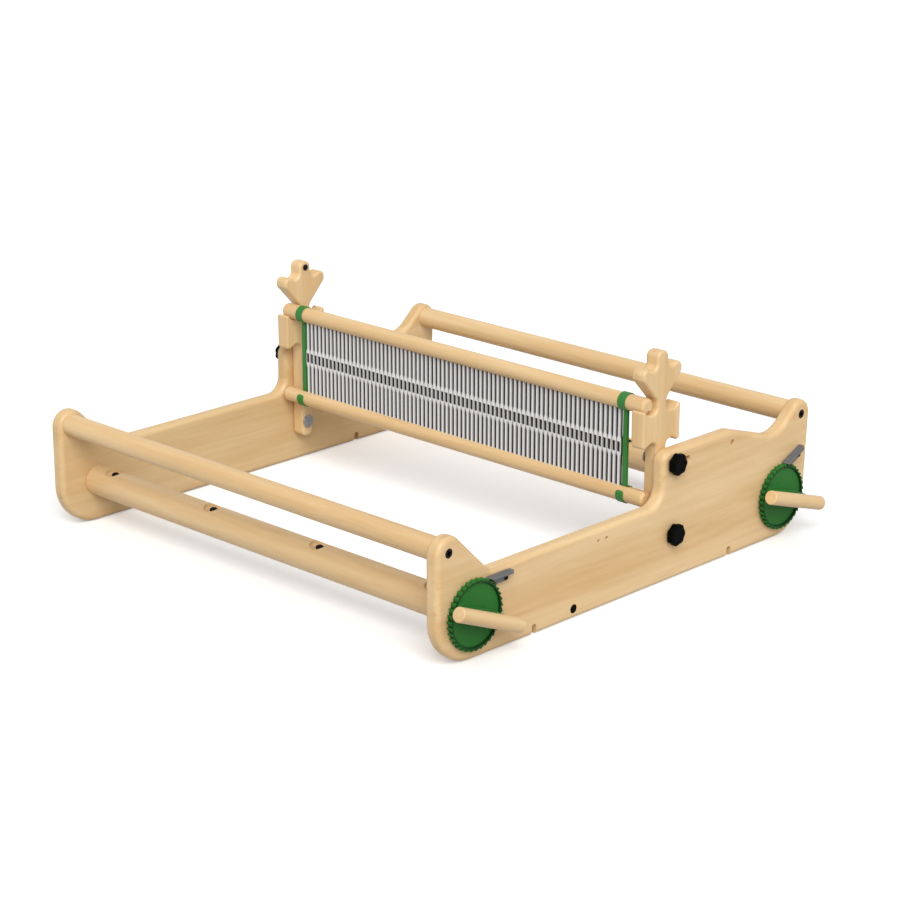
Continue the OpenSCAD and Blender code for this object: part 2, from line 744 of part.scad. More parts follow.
// Pawl, drawn about its wheel's axis: a thumb plate over a lever with a round end at the pivot.
// Its front end follows the circle of the tooth tips.
module pawl(c, turn) {
    near_x = outer_x + wheel_gap;
    top = pawl_pivot_z + thumb_rise;
    front = pawl_pivot_y + thumb_back - thumb_len;
    low = top - thumb_t;
    color("gray") at_front() translate([0, c[0], c[1]]) rotate([turn, 0, 0]) difference() {
        union() {
            translate([near_x, front, low])
                cube([thumb_w - thumb_corner_r, thumb_len, thumb_t]);
            translate([near_x, front, low])
                cube([thumb_w, thumb_len - thumb_corner_r, thumb_t]);
            translate([near_x + thumb_w - thumb_corner_r, front + thumb_len - thumb_corner_r, low])
                cylinder(r = thumb_corner_r, h = thumb_t);
            for (k = [1:thumb_ribs]) translate([
                near_x + k * (thumb_w - thumb_rib_w) / (thumb_ribs + 1), front, top - thumb_rib_h])
                cube([thumb_rib_w, thumb_len - thumb_corner_r, 2 * thumb_rib_h]);
            translate([near_x, front, pawl_pivot_z - lever_end_r])
                cube([lever_t, thumb_len - thumb_back, lever_end_r + thumb_rise - thumb_t / 2]);
            x_bar(lever_end_r, near_x, near_x + lever_t, [pawl_pivot_y, pawl_pivot_z]);
        }
        x_bar(pawl_screw_d / 2 + run_fit, near_x - overrun, near_x + lever_t + overrun,
            [pawl_pivot_y, pawl_pivot_z]);
        x_bar(tooth_tip_r + tip_gap, near_x - overrun, near_x + thumb_w + overrun, [0, 0]);
    }
}

// Screw that a pawl turns on
module pawl_screw(c, turn) {
    place = pawl_place(c, turn);
    head_x = outer_x + wheel_gap + lever_t + loose_gap;
    color("dimgray") at_front() difference() {
        union() {
            x_bar(pawl_screw_d / 2, outer_x - pawl_screw_grip, head_x + overrun, place);
            x_bar(pawl_head_d / 2, head_x, head_x + pawl_head_h, place);
        }
        translate([head_x + pawl_head_h * socket_share, place[0], place[1]]) rotate([0, 90, 0])
            cylinder(r = pawl_head_d * socket_share / 2, h = pawl_head_h, $fn = 6);
    }
}

module cloth_pawl() {
    pawl(cloth_c, 0);
}

module warp_pawl() {
    pawl(warp_c, warp_pawl_turn);
}

module cloth_pawl_screw() {
    pawl_screw(cloth_c, 0);
}

module warp_pawl_screw() {
    pawl_screw(warp_c, warp_pawl_turn);
}

// Right heddle holder. Its slot lets the upper bolt rise as the holder tilts.
module holder() {
    color("burlywood") at_front() difference() {
        translate([holder_in_x, 0, 0]) rounded_plate(holder_path, holder_t, holder_edge_r);
        x_bar(bolt_d / 2, holder_in_x - overrun, holder_out_x + overrun, [holder_in, pivot_bolt_h]);
        for (z = [slot_bolt_h - slot_play, slot_bolt_h + slot_stretch + slot_play])
            x_bar(slot_r, holder_in_x - overrun, holder_out_x + overrun, [holder_in, z]);
        translate([holder_in_x - overrun, holder_in - slot_r, slot_bolt_h - slot_play])
            cube([holder_t + 2 * overrun, 2 * slot_r, slot_stretch + 2 * slot_play]);
        x_bar(post_screw_shank_d / 2, holder_in_x - overrun, holder_in_x + post_screw_grip,
            [holder_in, post_screw_z]);
    }
}

post_screw_z = seat_h + shed_rise + post_rise - post_screw_drop;

// Round head screw on the inner face of a holder's post
module post_screw() {
    dome = quarter(post_screw_d / 2, post_screw_h / 2);
    color("dimgray") at_front() translate([holder_in_x, holder_in, post_screw_z])
        rotate([0, -90, 0]) union() {
            translate([0, 0, -post_screw_grip]) cylinder(r = post_screw_shank_d / 2,
                h = post_screw_grip + overrun);
            rotate_extrude() polygon(concat([[0, 0], [post_screw_d / 2, 0]],
                [for (i = [len(dome) - 1:-1:0]) [dome[i][0], post_screw_h - dome[i][1]]],
                [[0, post_screw_h]]));
        }
}

// Clamp bolt with a low round head on the holder's inner face, at height z
module clamp_bolt(z, gap) {
    face = holder_in_x - gap;
    dome = quarter(bolt_head_d / 2, bolt_head_h / 2);
    color("silver") at_front() translate([face, holder_in, z]) union() {
        rotate([0, -90, 0]) rotate_extrude() polygon(concat([[0, 0], [bolt_head_d / 2, 0]],
            [for (i = [len(dome) - 1:-1:0]) [dome[i][0], bolt_head_h - dome[i][1]]],
            [[0, bolt_head_h]]));
        rotate([0, 90, 0]) cylinder(r = bolt_d / 2, h = outer_x + end_play - face
            + (knob_grip_t + knob_collar_h) * bolt_in_knob_share);
    }
}

// Lobed knob on a clamp bolt, against the panel's outer face
module clamp_knob(z) {
    lobe_r = knob_d * (1 - knob_web_share) / 2 + knob_d / (2 * knob_lobes);
    near_x = outer_x + end_play;
    color("dimgray") at_front() translate([near_x, holder_in, z]) rotate([90, 0, 90]) difference() {
        union() {
            cylinder(r = knob_d * knob_collar_share / 2, h = knob_collar_h + overrun);
            translate([0, 0, knob_collar_h]) linear_extrude(knob_grip_t) union() {
                circle(r = knob_d * knob_web_share / 2);
                for (k = [0:knob_lobes - 1]) rotate(360 * k / knob_lobes)
                    translate([knob_d / 2 - lobe_r, 0]) circle(r = lobe_r);
            }
        }
        translate([0, 0, -overrun]) cylinder(r = bolt_d / 2 + run_fit,
            h = (knob_grip_t + knob_collar_h) * bolt_in_knob_share + end_play + overrun);
    }
}

module right_heddle_holder() {
    holder();
}

module left_heddle_holder() {
    mirror([1, 0, 0]) holder();
}

module right_post_screw() {
    post_screw();
}

module left_post_screw() {
    mirror([1, 0, 0]) post_screw();
}

module right_pivot_bolt() {
    clamp_bolt(pivot_bolt_h, 0);
}

module left_pivot_bolt() {
    mirror([1, 0, 0]) clamp_bolt(pivot_bolt_h, 0);
}

module right_slot_bolt() {
    clamp_bolt(slot_bolt_h, loose_gap);
}

module left_slot_bolt() {
    mirror([1, 0, 0]) clamp_bolt(slot_bolt_h, loose_gap);
}

module right_pivot_knob() {
    clamp_knob(pivot_bolt_h);
}

module left_pivot_knob() {
    mirror([1, 0, 0]) clamp_knob(pivot_bolt_h);
}

module right_slot_knob() {
    clamp_knob(slot_bolt_h);
}

module left_slot_knob() {
    mirror([1, 0, 0]) clamp_knob(slot_bolt_h);
}

// Round rod with a groove along its whole underside or top, for the reed's rail
module heddle_rod(z, way) {
    rod_y = holder_in - rod_ahead;
    groove_z = z - way * rod_d / 2;
    color("burlywood") at_front() difference() {
        x_turned(rod_d / 2, -rod_len / 2, rod_len / 2, [rod_y, z], rod_end_r);
        translate([-rod_len / 2 - overrun, rod_y - rail_depth / 2,
            min(groove_z - way * overrun, groove_z + way * rail_h)])
            cube([rod_len + 2 * overrun, rail_depth, rail_h + overrun]);
    }
}

module heddle_top_rod() {
    heddle_rod(rod_h, 1);
}

module heddle_bottom_rod() {
    heddle_rod(rod_low_h, -1);
}

// One blade at x = 0: its front outline with the eye, cut to a ridged section
module blade() {
    half = blade_w / 2;
    wide = eye_block_w / 2;
    eye = eye_h / 2;
    flare = eye + flare_h;
    flank = blade_depth * blade_flank_share / 2;
    intersection() {
        rotate([90, 0, 0]) linear_extrude(blade_depth, center = true) difference() {
            polygon([
                [-half, reed_low], [half, reed_low],
                [half, reed_mid - flare], [wide, reed_mid - eye],
                [wide, reed_mid + eye], [half, reed_mid + flare],
                [half, reed_top], [-half, reed_top],
                [-half, reed_mid + flare], [-wide, reed_mid + eye],
                [-wide, reed_mid - eye], [-half, reed_mid - flare]
            ]);
            translate([-eye_w / 2, reed_mid - eye]) square([eye_w, eye_h]);
        }
        translate([0, 0, reed_low]) linear_extrude(reed_top - reed_low) polygon([
            [-wide, -flank], [0, -blade_depth / 2], [wide, -flank],
            [wide, flank], [0, blade_depth / 2], [-wide, flank]
        ]);
    }
}

// Reed: a comb of blades moulded between two rails that sit in the rods' grooves
module reed() {
    rod_y = holder_in - rod_ahead;
    color("lightgray") at_front() translate([0, rod_y, 0]) union() {
        for (k = [0:blade_count - 1])
            translate([(k - (blade_count - 1) / 2) * blade_pitch, 0, 0]) blade();
        for (z = [reed_top - rail_gap, reed_low - rail_h + rail_gap])
            translate([-reed_w / 2, -rail_depth / 2, z]) cube([reed_w, rail_depth, rail_h]);
    }
}

// End clip: a bar between the rods with an open ring round each, alike when turned end for end
module end_clip() {
    rod_y = holder_in - rod_ahead;
    mid = (rod_h + rod_low_h) / 2;
    ring_r = rod_d / 2;
    color("forestgreen") at_front() translate([clip_place, rod_y, mid]) union() {
        difference() {
            translate([-clip_bar_w / 2, -clip_bar_depth / 2, -rod_spread / 2])
                cube([clip_bar_w, clip_bar_depth, rod_spread]);
            for (side = [-1, 1])
                x_bar(ring_r + clip_ring_t / 2, -clip_bar_w, clip_bar_w, [0, side * rod_spread / 2]);
        }
        for (side = [0, 1]) rotate([180 * side, 0, 0]) translate([-clip_ring_w / 2, 0, rod_spread / 2])
            rotate([90, 0, 90]) rotate(-90 + clip_open) rotate_extrude(angle = 360 - clip_open)
                translate([ring_r, 0]) square([clip_ring_t, clip_ring_w]);
    }
}

module right_end_clip() {
    end_clip();
}

module left_end_clip() {
    mirror([1, 0, 0]) end_clip();
}

left_side_panel();
right_side_panel();
front_beam();
back_beam();
front_beam_screws();
back_beam_screws();
panel_plugs();
cloth_roller();
cloth_roller_cord_screws();
cloth_roller_pivot_screw();
cloth_ratchet_wheel();
cloth_handle();
cloth_handle_screws();
warp_roller();
warp_roller_cord_screws();
warp_roller_pivot_screw();
warp_ratchet_wheel();
warp_handle();
warp_handle_screws();
cloth_pawl();
warp_pawl();
cloth_pawl_screw();
warp_pawl_screw();
left_heddle_holder();
right_heddle_holder();
left_post_screw();
right_post_screw();
left_pivot_bolt();
right_pivot_bolt();
left_slot_bolt();
right_slot_bolt();
left_pivot_knob();
right_pivot_knob();
left_slot_knob();
right_slot_knob();
heddle_top_rod();
heddle_bottom_rod();
reed();
left_end_clip();
right_end_clip();
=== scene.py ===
"""Looks of a rigid heddle table loom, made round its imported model.

Every piece is worked out in millimetres, with Y counted from the front edge of the side panels. It
is put into its mesh in metres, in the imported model's own frame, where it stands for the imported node
of the same purpose and rides on that node's body.
"""

from __future__ import annotations

import logging
import math
from dataclasses import dataclass, field
from enum import Enum
from typing import Any

import bmesh
import bpy
import numpy as np
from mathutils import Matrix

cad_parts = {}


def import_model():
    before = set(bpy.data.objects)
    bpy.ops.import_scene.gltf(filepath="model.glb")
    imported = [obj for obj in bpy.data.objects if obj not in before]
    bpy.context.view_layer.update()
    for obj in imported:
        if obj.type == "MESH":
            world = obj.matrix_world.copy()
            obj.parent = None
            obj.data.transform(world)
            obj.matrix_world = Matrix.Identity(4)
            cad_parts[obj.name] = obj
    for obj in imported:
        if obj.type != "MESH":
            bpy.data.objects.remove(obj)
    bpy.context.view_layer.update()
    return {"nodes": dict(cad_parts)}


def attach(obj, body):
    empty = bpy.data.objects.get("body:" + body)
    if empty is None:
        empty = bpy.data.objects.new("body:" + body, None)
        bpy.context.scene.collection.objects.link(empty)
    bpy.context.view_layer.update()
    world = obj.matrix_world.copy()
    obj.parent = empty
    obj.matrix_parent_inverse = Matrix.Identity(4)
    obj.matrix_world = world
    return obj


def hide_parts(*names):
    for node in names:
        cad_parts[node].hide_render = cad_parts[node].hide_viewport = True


LOG = logging.getLogger("loom")
MM = 0.001
WELD_MM = 0.002
Array = np.ndarray
Node = bpy.types.ShaderNode
Piece = bpy.types.Object


class Side(Enum):
    """Side of the loom, seen from the weaver."""

    LEFT = -1
    RIGHT = 1


class Grain(Enum):
    """Index of the axis that a board's or a dowel's grain follows."""

    ACROSS = 0
    ALONG = 1
    UPRIGHT = 2


@dataclass(frozen=True)
class Layout:
    """Sizes and places that several sub-assemblies share, in millimetres."""

    inner_x: float = 290.0
    panel_t: float = 18.0
    panel_len: float = 605.5
    beam_r: float = 12.5
    front_beam: tuple[float, float] = (16.9, 122.9)
    back_beam: tuple[float, float] = (589.1, 138.0)
    cloth_axis: tuple[float, float] = (50.0, 50.0)
    warp_axis: tuple[float, float] = (551.4, 50.0)
    roller_r: float = 17.5
    holder_in: float = 363.5
    pivot_bolt_h: float = 53.2
    slot_bolt_h: float = 133.5
    slot_travel: float = 22.9
    slot_r: float = 3.4
    bolt_r: float = 3.0
    seat_h: float = 186.5
    rod_r: float = 9.0
    rod_ahead: float = 18.4
    rod_h: float = 195.8
    rod_low_h: float = 90.8
    wheel_gap: float = 1.0
    pawl_pivot: tuple[float, float] = (42.5, 28.8)
    warp_pawl_turn: float = 24.3
    gap: float = 0.3
    cut_past: float = 1.0
    screw_seat: float = 6.2
    plug: tuple[float, float, float] = (203.5, 11.3, 5.0)
    plug_depth: float = 8.0

    @property
    def outer_x(self) -> float:
        """Place of a panel's outer face."""
        return self.inner_x + self.panel_t

    @property
    def rod_y(self) -> float:
        """Place of the heddle's rods behind the panels' front edge."""
        return self.holder_in - self.rod_ahead

    @property
    def middle_y(self) -> float:
        """Middle of the panels' length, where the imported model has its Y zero."""
        return self.panel_len / 2


LAYOUT = Layout()
ACROSS = np.array([1.0, 0.0, 0.0])
UPWARD = np.array([0.0, 0.0, 1.0])


@dataclass
class Solid:
    """Closed surfaces gathered for one mesh: points in millimetres and faces as index lists."""

    points: list[Array] = field(default_factory=list)
    faces: list[list[int]] = field(default_factory=list)
    count: int = 0

    def grid(self, rows: Array, ring: bool = False) -> Solid:
        """Add a surface from rows of points, each row a closed loop.

        Args:
            rows: points of shape (rows, columns, 3).
            ring: True where the last row joins the first, and otherwise both end rows are filled.

        Returns:
            The solid itself.
        """
        count, columns, _ = rows.shape
        index = np.arange(count * columns).reshape(count, columns) + self.count
        low = index if ring else index[:-1]
        high = np.roll(index, -1, 0) if ring else index[1:]
        quads = np.stack([low, np.roll(low, -1, 1), np.roll(high, -1, 1), high], -1)
        self.faces += quads.reshape(-1, 4).tolist()
        if not ring:
            self.faces += [index[0].tolist(), index[-1].tolist()]
        self.points.append(rows.reshape(-1, 3))
        self.count += count * columns
        return self

    def copies(self, offsets: Array) -> Solid:
        """Repeat the whole solid, once for each offset: point(k, i) = point(i) + offset(k).

        Args:
            offsets: shape (copies, 3).

        Returns:
            A new solid that holds every copy.
        """
        base = np.concatenate(self.points)
        placed = (offsets[:, None, :] + base[None]).reshape(-1, 3)
        faces = [[i + k * len(base) for i in face]
                 for k in range(len(offsets)) for face in self.faces]
        return Solid([placed], faces, len(placed))

    def mirrored(self, side: Side) -> Solid:
        """The same solid, on the given side of the loom."""
        flip = np.array([side.value, 1.0, 1.0])
        return Solid([p * flip for p in self.points], self.faces, self.count)

    def mesh(self, name: str) -> bpy.types.Mesh:
        """Put the points and faces into a mesh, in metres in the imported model's frame.

        Args:
            name: the mesh's name.

        Returns:
            The mesh, with its doubles merged and its faces outwards.
        """
        points = (np.concatenate(self.points) - [0.0, LAYOUT.middle_y, 0.0]) * MM
        mesh = bpy.data.meshes.new(name)
        mesh.from_pydata(points.tolist(), [], self.faces)
        work = bmesh.new()
        work.from_mesh(mesh)
        bmesh.ops.remove_doubles(work, verts=work.verts, dist=WELD_MM * MM)
        bmesh.ops.recalc_face_normals(work, faces=work.faces)
        work.to_mesh(mesh)
        work.free()
        return mesh


def basis(axis: Array) -> tuple[Array, Array, Array]:
    """A unit axis with two directions square to it.

    Args:
        axis: any direction.

    Returns:
        The unit axis and its two side directions.
    """
    along = np.asarray(axis, float) / np.linalg.norm(axis)
    helper = UPWARD if abs(along[2]) < 0.9 else np.array([0.0, 1.0, 0.0])
    side = np.cross(helper, along)
    side /= np.linalg.norm(side)
    return along, side, np.cross(along, side)


def turned(profile: Array, origin: Array, axis: Array, steps: int = 72) -> Array:
    """A turned surface: p(u, v) = origin + along(u) axis + radius(u) (cos v side + sin v up).

    Args:
        profile: rows of (along, radius).
        origin: where along is zero.
        axis: direction of the turning axis.
        steps: points round the axis.

    Returns:
        Points of shape (profile rows, steps, 3).
    """
    along, side, up = basis(axis)
    v = np.linspace(0, 2 * np.pi, steps, endpoint=False)
    round_it = np.cos(v)[:, None] * side + np.sin(v)[:, None] * up
    return (np.asarray(origin, float) + profile[:, 0, None, None] * along
            + profile[:, 1, None, None] * round_it)


def rounded_bar(length: float, radius: float, edge: float, steps: int = 6) -> Array:
    """Profile of a bar with rounded rims: quarter circles of the edge radius at both ends.

    Args:
        length: the bar's length.
        radius: the bar's radius.
        edge: radius of the rims.
        steps: steps in a quarter circle.

    Returns:
        Rows of (along, radius).
    """
    a = np.linspace(0, np.pi / 2, steps + 1)
    near = np.stack([edge - edge * np.cos(a), radius - edge + edge * np.sin(a)], -1)
    far = near[::-1] * [-1, 1] + [length, 0]
    return np.concatenate([near, far])


def domed_head(radius: float, height: float, rim_share: float = 0.25, near: float = 0.97,
               steps: int = 8) -> Array:
    """Profile of a low round head: a flat base, a short rim and a quarter ellipse above it.

    Args:
        radius: the head's radius.
        height: the head's height.
        rim_share: the rim's share of the height.
        near: share of the radius at the base, and of the quarter turn at the flat top.
        steps: steps along the dome.

    Returns:
        Rows of (along, radius).
    """
    a = np.linspace(0, np.pi / 2 * near, steps + 1)
    rim = rim_share * height
    dome = np.stack([rim + (height - rim) * np.sin(a), radius * np.cos(a)], -1)
    return np.concatenate([[[0.0, radius * near]], dome])


def unit(degrees: float) -> Array:
    """Unit vector at an angle in degrees."""
    return np.array([math.cos(math.radians(degrees)), math.sin(math.radians(degrees))])


def turned_about(points: Array, axis: tuple[float, float], turn: float) -> Array:
    """Turn places (y, z) about zero by an angle in degrees, and move them to an axis.

    Args:
        points: the places, in the last dimension.
        axis: Y and Z of the axis.
        turn: the angle.

    Returns:
        The places, as an array of the same shape.
    """
    c, s = unit(turn)
    y, z = points[..., 0], points[..., 1]
    return np.stack([y * c - z * s, y * s + z * c], -1) + axis


def heading(p: Array, q: Array) -> float:
    """Angle in degrees of the line from p to q."""
    return math.degrees(math.atan2(q[1] - p[1], q[0] - p[0]))


def meet(p: Array, a: float, q: Array, b: float) -> Array:
    """Point where two lines meet.

    Args:
        p: point on the first line.
        a: heading of the first line, in degrees.
        q: point on the second line.
        b: heading of the second line.

    Returns:
        The point.
    """
    u, v = unit(a), unit(b)
    gap = np.asarray(q, float) - p
    return p + u * (gap[0] * v[1] - gap[1] * v[0]) / (u[0] * v[1] - u[1] * v[0])


def corner_of(c: Array, r: float, a: float, b: float) -> Array:
    """Sharp corner (y, z, r) that a circle rounds, between headings a and b of a clockwise path."""
    return np.append(c + unit((a + b) / 2 + 90) * r / math.cos(math.radians((a - b) / 2)), r)


def rounded_outline(corners: list[Array], arc_step: float = 5.0) -> tuple[Array, Array]:
    """Round each corner of a clockwise outline with an arc that both of its sides touch.

    Args:
        corners: rows of (y, z, radius).
        arc_step: largest turn between two points, in degrees.

    Returns:
        The points and their outward directions, each of shape (n, 2).
    """
    points, outward = [], []
    for i, corner in enumerate(corners):
        before, after = corners[i - 1], corners[(i + 1) % len(corners)]
        a = heading(before, corner)
        turn = (heading(corner, after) - a + 180) % 360 - 180
        side, r = math.copysign(1, turn), corner[2]
        start = corner[:2] - unit(a) * r * math.tan(math.radians(abs(turn) / 2))
        centre = start + unit(a + 90 * side) * r
        h = np.radians(a + turn * np.linspace(0, 1, max(2, math.ceil(abs(turn) / arc_step)) + 1))
        n = np.stack([-np.sin(h), np.cos(h)], -1)
        points.append(centre - n * side * r)
        outward.append(n)
    return np.concatenate(points), np.concatenate(outward)


def plate(outline: tuple[Array, Array], x0: float, x1: float, edge: float | Array,
          steps: int = 6) -> Array:
    """A plate with rounded edges: p(a) = outline - outward e (1 - sin a), x = face + e (1 - cos a).

    Args:
        outline: points and outward directions of the plate's outline.
        x0: place of one face.
        x1: place of the other face.
        edge: radius e of the rounded edges, one for all points or one for each.
        steps: steps in each quarter round.

    Returns:
        Points of shape (rows, n, 3).
    """
    points, outward = outline
    a = np.linspace(0, np.pi / 2, steps + 1)
    e = np.broadcast_to(edge, len(points))
    inset = np.concatenate([1 - np.sin(a), 1 - np.sin(a[::-1])])[:, None] * e
    rise = math.copysign(1, x1 - x0) * (1 - np.cos(a))[:, None] * e
    x = np.concatenate([x0 + rise, x1 - rise[::-1]])
    return np.concatenate([x[..., None], points - outward * inset[..., None]], -1)


def prism(outline: Array, start: float, end: float, axis: int = 0) -> Array:
    """A straight prism: the outline at both ends of its length.

    Args:
        outline: points of shape (n, 2), on the two other axes in their order.
        start: where the prism starts along its axis.
        end: where it ends.
        axis: index of the axis that it runs along.

    Returns:
        Points of shape (2, n, 3).
    """
    return np.stack([np.insert(outline, axis, place, axis=1) for place in (start, end)])


def stadium(centre: tuple[float, float], radius: float, run: tuple[float, float],
            steps: int = 24) -> Array:
    """Outline of a slot: two half circles joined by straight sides.

    Args:
        centre: centre of the first half circle.
        radius: half the slot's width.
        run: step from the first centre to the second.
        steps: steps in a half circle.

    Returns:
        Points of shape (n, 2).
    """
    along = math.atan2(run[1], run[0])
    a = along + np.pi / 2 + np.linspace(0, np.pi, steps + 1)
    half = np.stack([np.cos(a), np.sin(a)], -1) * radius
    return np.concatenate([half + centre, np.asarray(centre) + run - half])


def box_outline(low: tuple[float, float], high: tuple[float, float], r: float) -> Array:
    """Outline of a rectangle with rounded corners.

    Args:
        low: its lowest corner.
        high: its highest corner.
        r: radius of the corners.

    Returns:
        Points of shape (n, 2).
    """
    corners = [np.array([*p, r]) for p in (low, (low[0], high[1]), high, (high[0], low[1]))]
    return rounded_outline(corners, 22.5)[0]


def new_piece(name: str, solid: Solid, cuts: Solid | None = None, sharp: float = 31.0) -> Piece:
    """Make an object from a solid, with other solids cut away from it.

    Args:
        name: the piece's name.
        solid: what the piece is made of.
        cuts: closed surfaces to cut away.
        sharp: angle in degrees above which an edge is drawn sharp.

    Returns:
        The object, at the origin.
    """
    piece = bpy.data.objects.new(name, solid.mesh(name))
    bpy.context.scene.collection.objects.link(piece)
    if cuts is not None:
        tool = bpy.data.objects.new("cutter", cuts.mesh("cutter"))
        bpy.context.scene.collection.objects.link(tool)
        cut = piece.modifiers.new("cut", "BOOLEAN")
        cut.solver = "EXACT"
        cut.object = tool
        bpy.context.view_layer.update()
        shown = piece.evaluated_get(bpy.context.evaluated_depsgraph_get())
        spent = (piece.data, tool.data)
        piece.data = bpy.data.meshes.new_from_object(shown)
        piece.modifiers.clear()
        bpy.data.objects.remove(tool)
        for mesh in spent:
            bpy.data.meshes.remove(mesh)
        piece.data.name = name
    piece.data.shade_smooth()
    piece.data.set_sharp_from_angle(angle=math.radians(sharp))
    weighted = piece.modifiers.new("weighted", "WEIGHTED_NORMAL")
    weighted.keep_sharp = True
    return piece


def soften(piece: Piece, width: float, steps: int = 2, angle: float = 35.0) -> Piece:
    """Break a piece's sharp edges with a narrow bevel.

    Args:
        piece: the piece.
        width: width of the bevel in millimetres.
        steps: segments across it.
        angle: least angle in degrees of an edge that is broken.

    Returns:
        The piece itself.
    """
    bevel = piece.modifiers.new("edges", "BEVEL")
    bevel.width = width * MM
    bevel.segments = steps
    bevel.limit_method = "ANGLE"
    bevel.angle_limit = math.radians(angle)
    bevel.use_clamp_overlap = True
    while piece.modifiers[0].name != "edges":
        piece.modifiers.move(len(piece.modifiers) - 1, 0)
    return piece


def linear(hex_code: str) -> tuple[float, float, float, float]:
    """Turn an sRGB hex colour to linear: ((c + 0.055) / 1.055) ** 2.4, or c / 12.92 where dark.

    Args:
        hex_code: such as E2C292.

    Returns:
        Linear red, green and blue, and an alpha of 1.
    """
    c = np.array([int(hex_code[i:i + 2], 16) for i in (0, 2, 4)]) / 255
    rgb = np.where(c <= 0.04045, c / 12.92, ((c + 0.055) / 1.055) ** 2.4)
    return float(rgb[0]), float(rgb[1]), float(rgb[2]), 1.0


def set_inputs(tree: bpy.types.NodeTree, node: Node, **sockets: Any) -> None:
    """Give a node's inputs their values and links.

    Args:
        tree: the material's node tree.
        node: the node.
        sockets: input values, or output sockets to link, by input name with _ for a space, or by
            i and the input's number.
    """
    for name, value in sockets.items():
        key = int(name[1:]) if name[0] == "i" and name[1:].isdigit() else name.replace("_", " ")
        if isinstance(value, bpy.types.NodeSocket):
            tree.links.new(value, node.inputs[key])
        else:
            node.inputs[key].default_value = value


def add_node(tree: bpy.types.NodeTree, kind: str, settings: dict[str, Any] | None = None,
             **sockets: Any) -> Node:
    """Add a shader node with its settings, values and links.

    Args:
        tree: the material's node tree.
        kind: the node's type, without the word ShaderNode.
        settings: the node's own properties by name.
        sockets: what goes into its inputs, as for set_inputs.

    Returns:
        The node.
    """
    node = tree.nodes.new("ShaderNode" + kind)
    for name, value in (settings or {}).items():
        setattr(node, name, value)
    set_inputs(tree, node, **sockets)
    return node


def noise(tree: bpy.types.NodeTree, place: Any, size: float, detail: float,
          distortion: float = 0.0) -> Any:
    """Noise whose features are about the given size.

    Args:
        tree: the material's node tree.
        place: output with the place to read it at.
        size: the size in millimetres.
        detail: number of finer layers.
        distortion: how far the noise is bent.

    Returns:
        The output.
    """
    return add_node(tree, "TexNoise", None, Vector=place, Scale=1 / (size * MM), Detail=detail,
                    Distortion=distortion).outputs[0]


def blend(tree: bpy.types.NodeTree, share: Any, first: Any, second: str) -> Any:
    """Mix two colours: first (1 - share) + second share.

    Args:
        tree: the material's node tree.
        share: output with the second colour's share.
        first: hex colour, or an output.
        second: hex colour.

    Returns:
        The output.
    """
    start = linear(first) if isinstance(first, str) else first
    return add_node(tree, "Mix", {"data_type": "RGBA"}, i0=share, i6=start,
                    i7=linear(second)).outputs[2]


def ranged(tree: bpy.types.NodeTree, value: Any, low: float, high: float,
           span: tuple[float, float] = (0.0, 1.0)) -> Any:
    """Output that runs from low to high as a value runs over its span.

    Args:
        tree: the material's node tree.
        value: output with the value.
        low: the output at the span's start and before it.
        high: the output at the span's end and past it.
        span: start and end of the span.

    Returns:
        The output.
    """
    return add_node(tree, "MapRange", None, Value=value, From_Min=span[0], From_Max=span[1],
                    To_Min=low, To_Max=high).outputs[0]


def new_material(name: str) -> tuple[bpy.types.Material, bpy.types.NodeTree, Node]:
    """Start a node material.

    Args:
        name: the material's name.

    Returns:
        The material, its tree and its Principled shader.
    """
    material = bpy.data.materials.new(name)
    material.use_nodes = True
    tree = material.node_tree
    return material, tree, next(n for n in tree.nodes if n.type == "BSDF_PRINCIPLED")


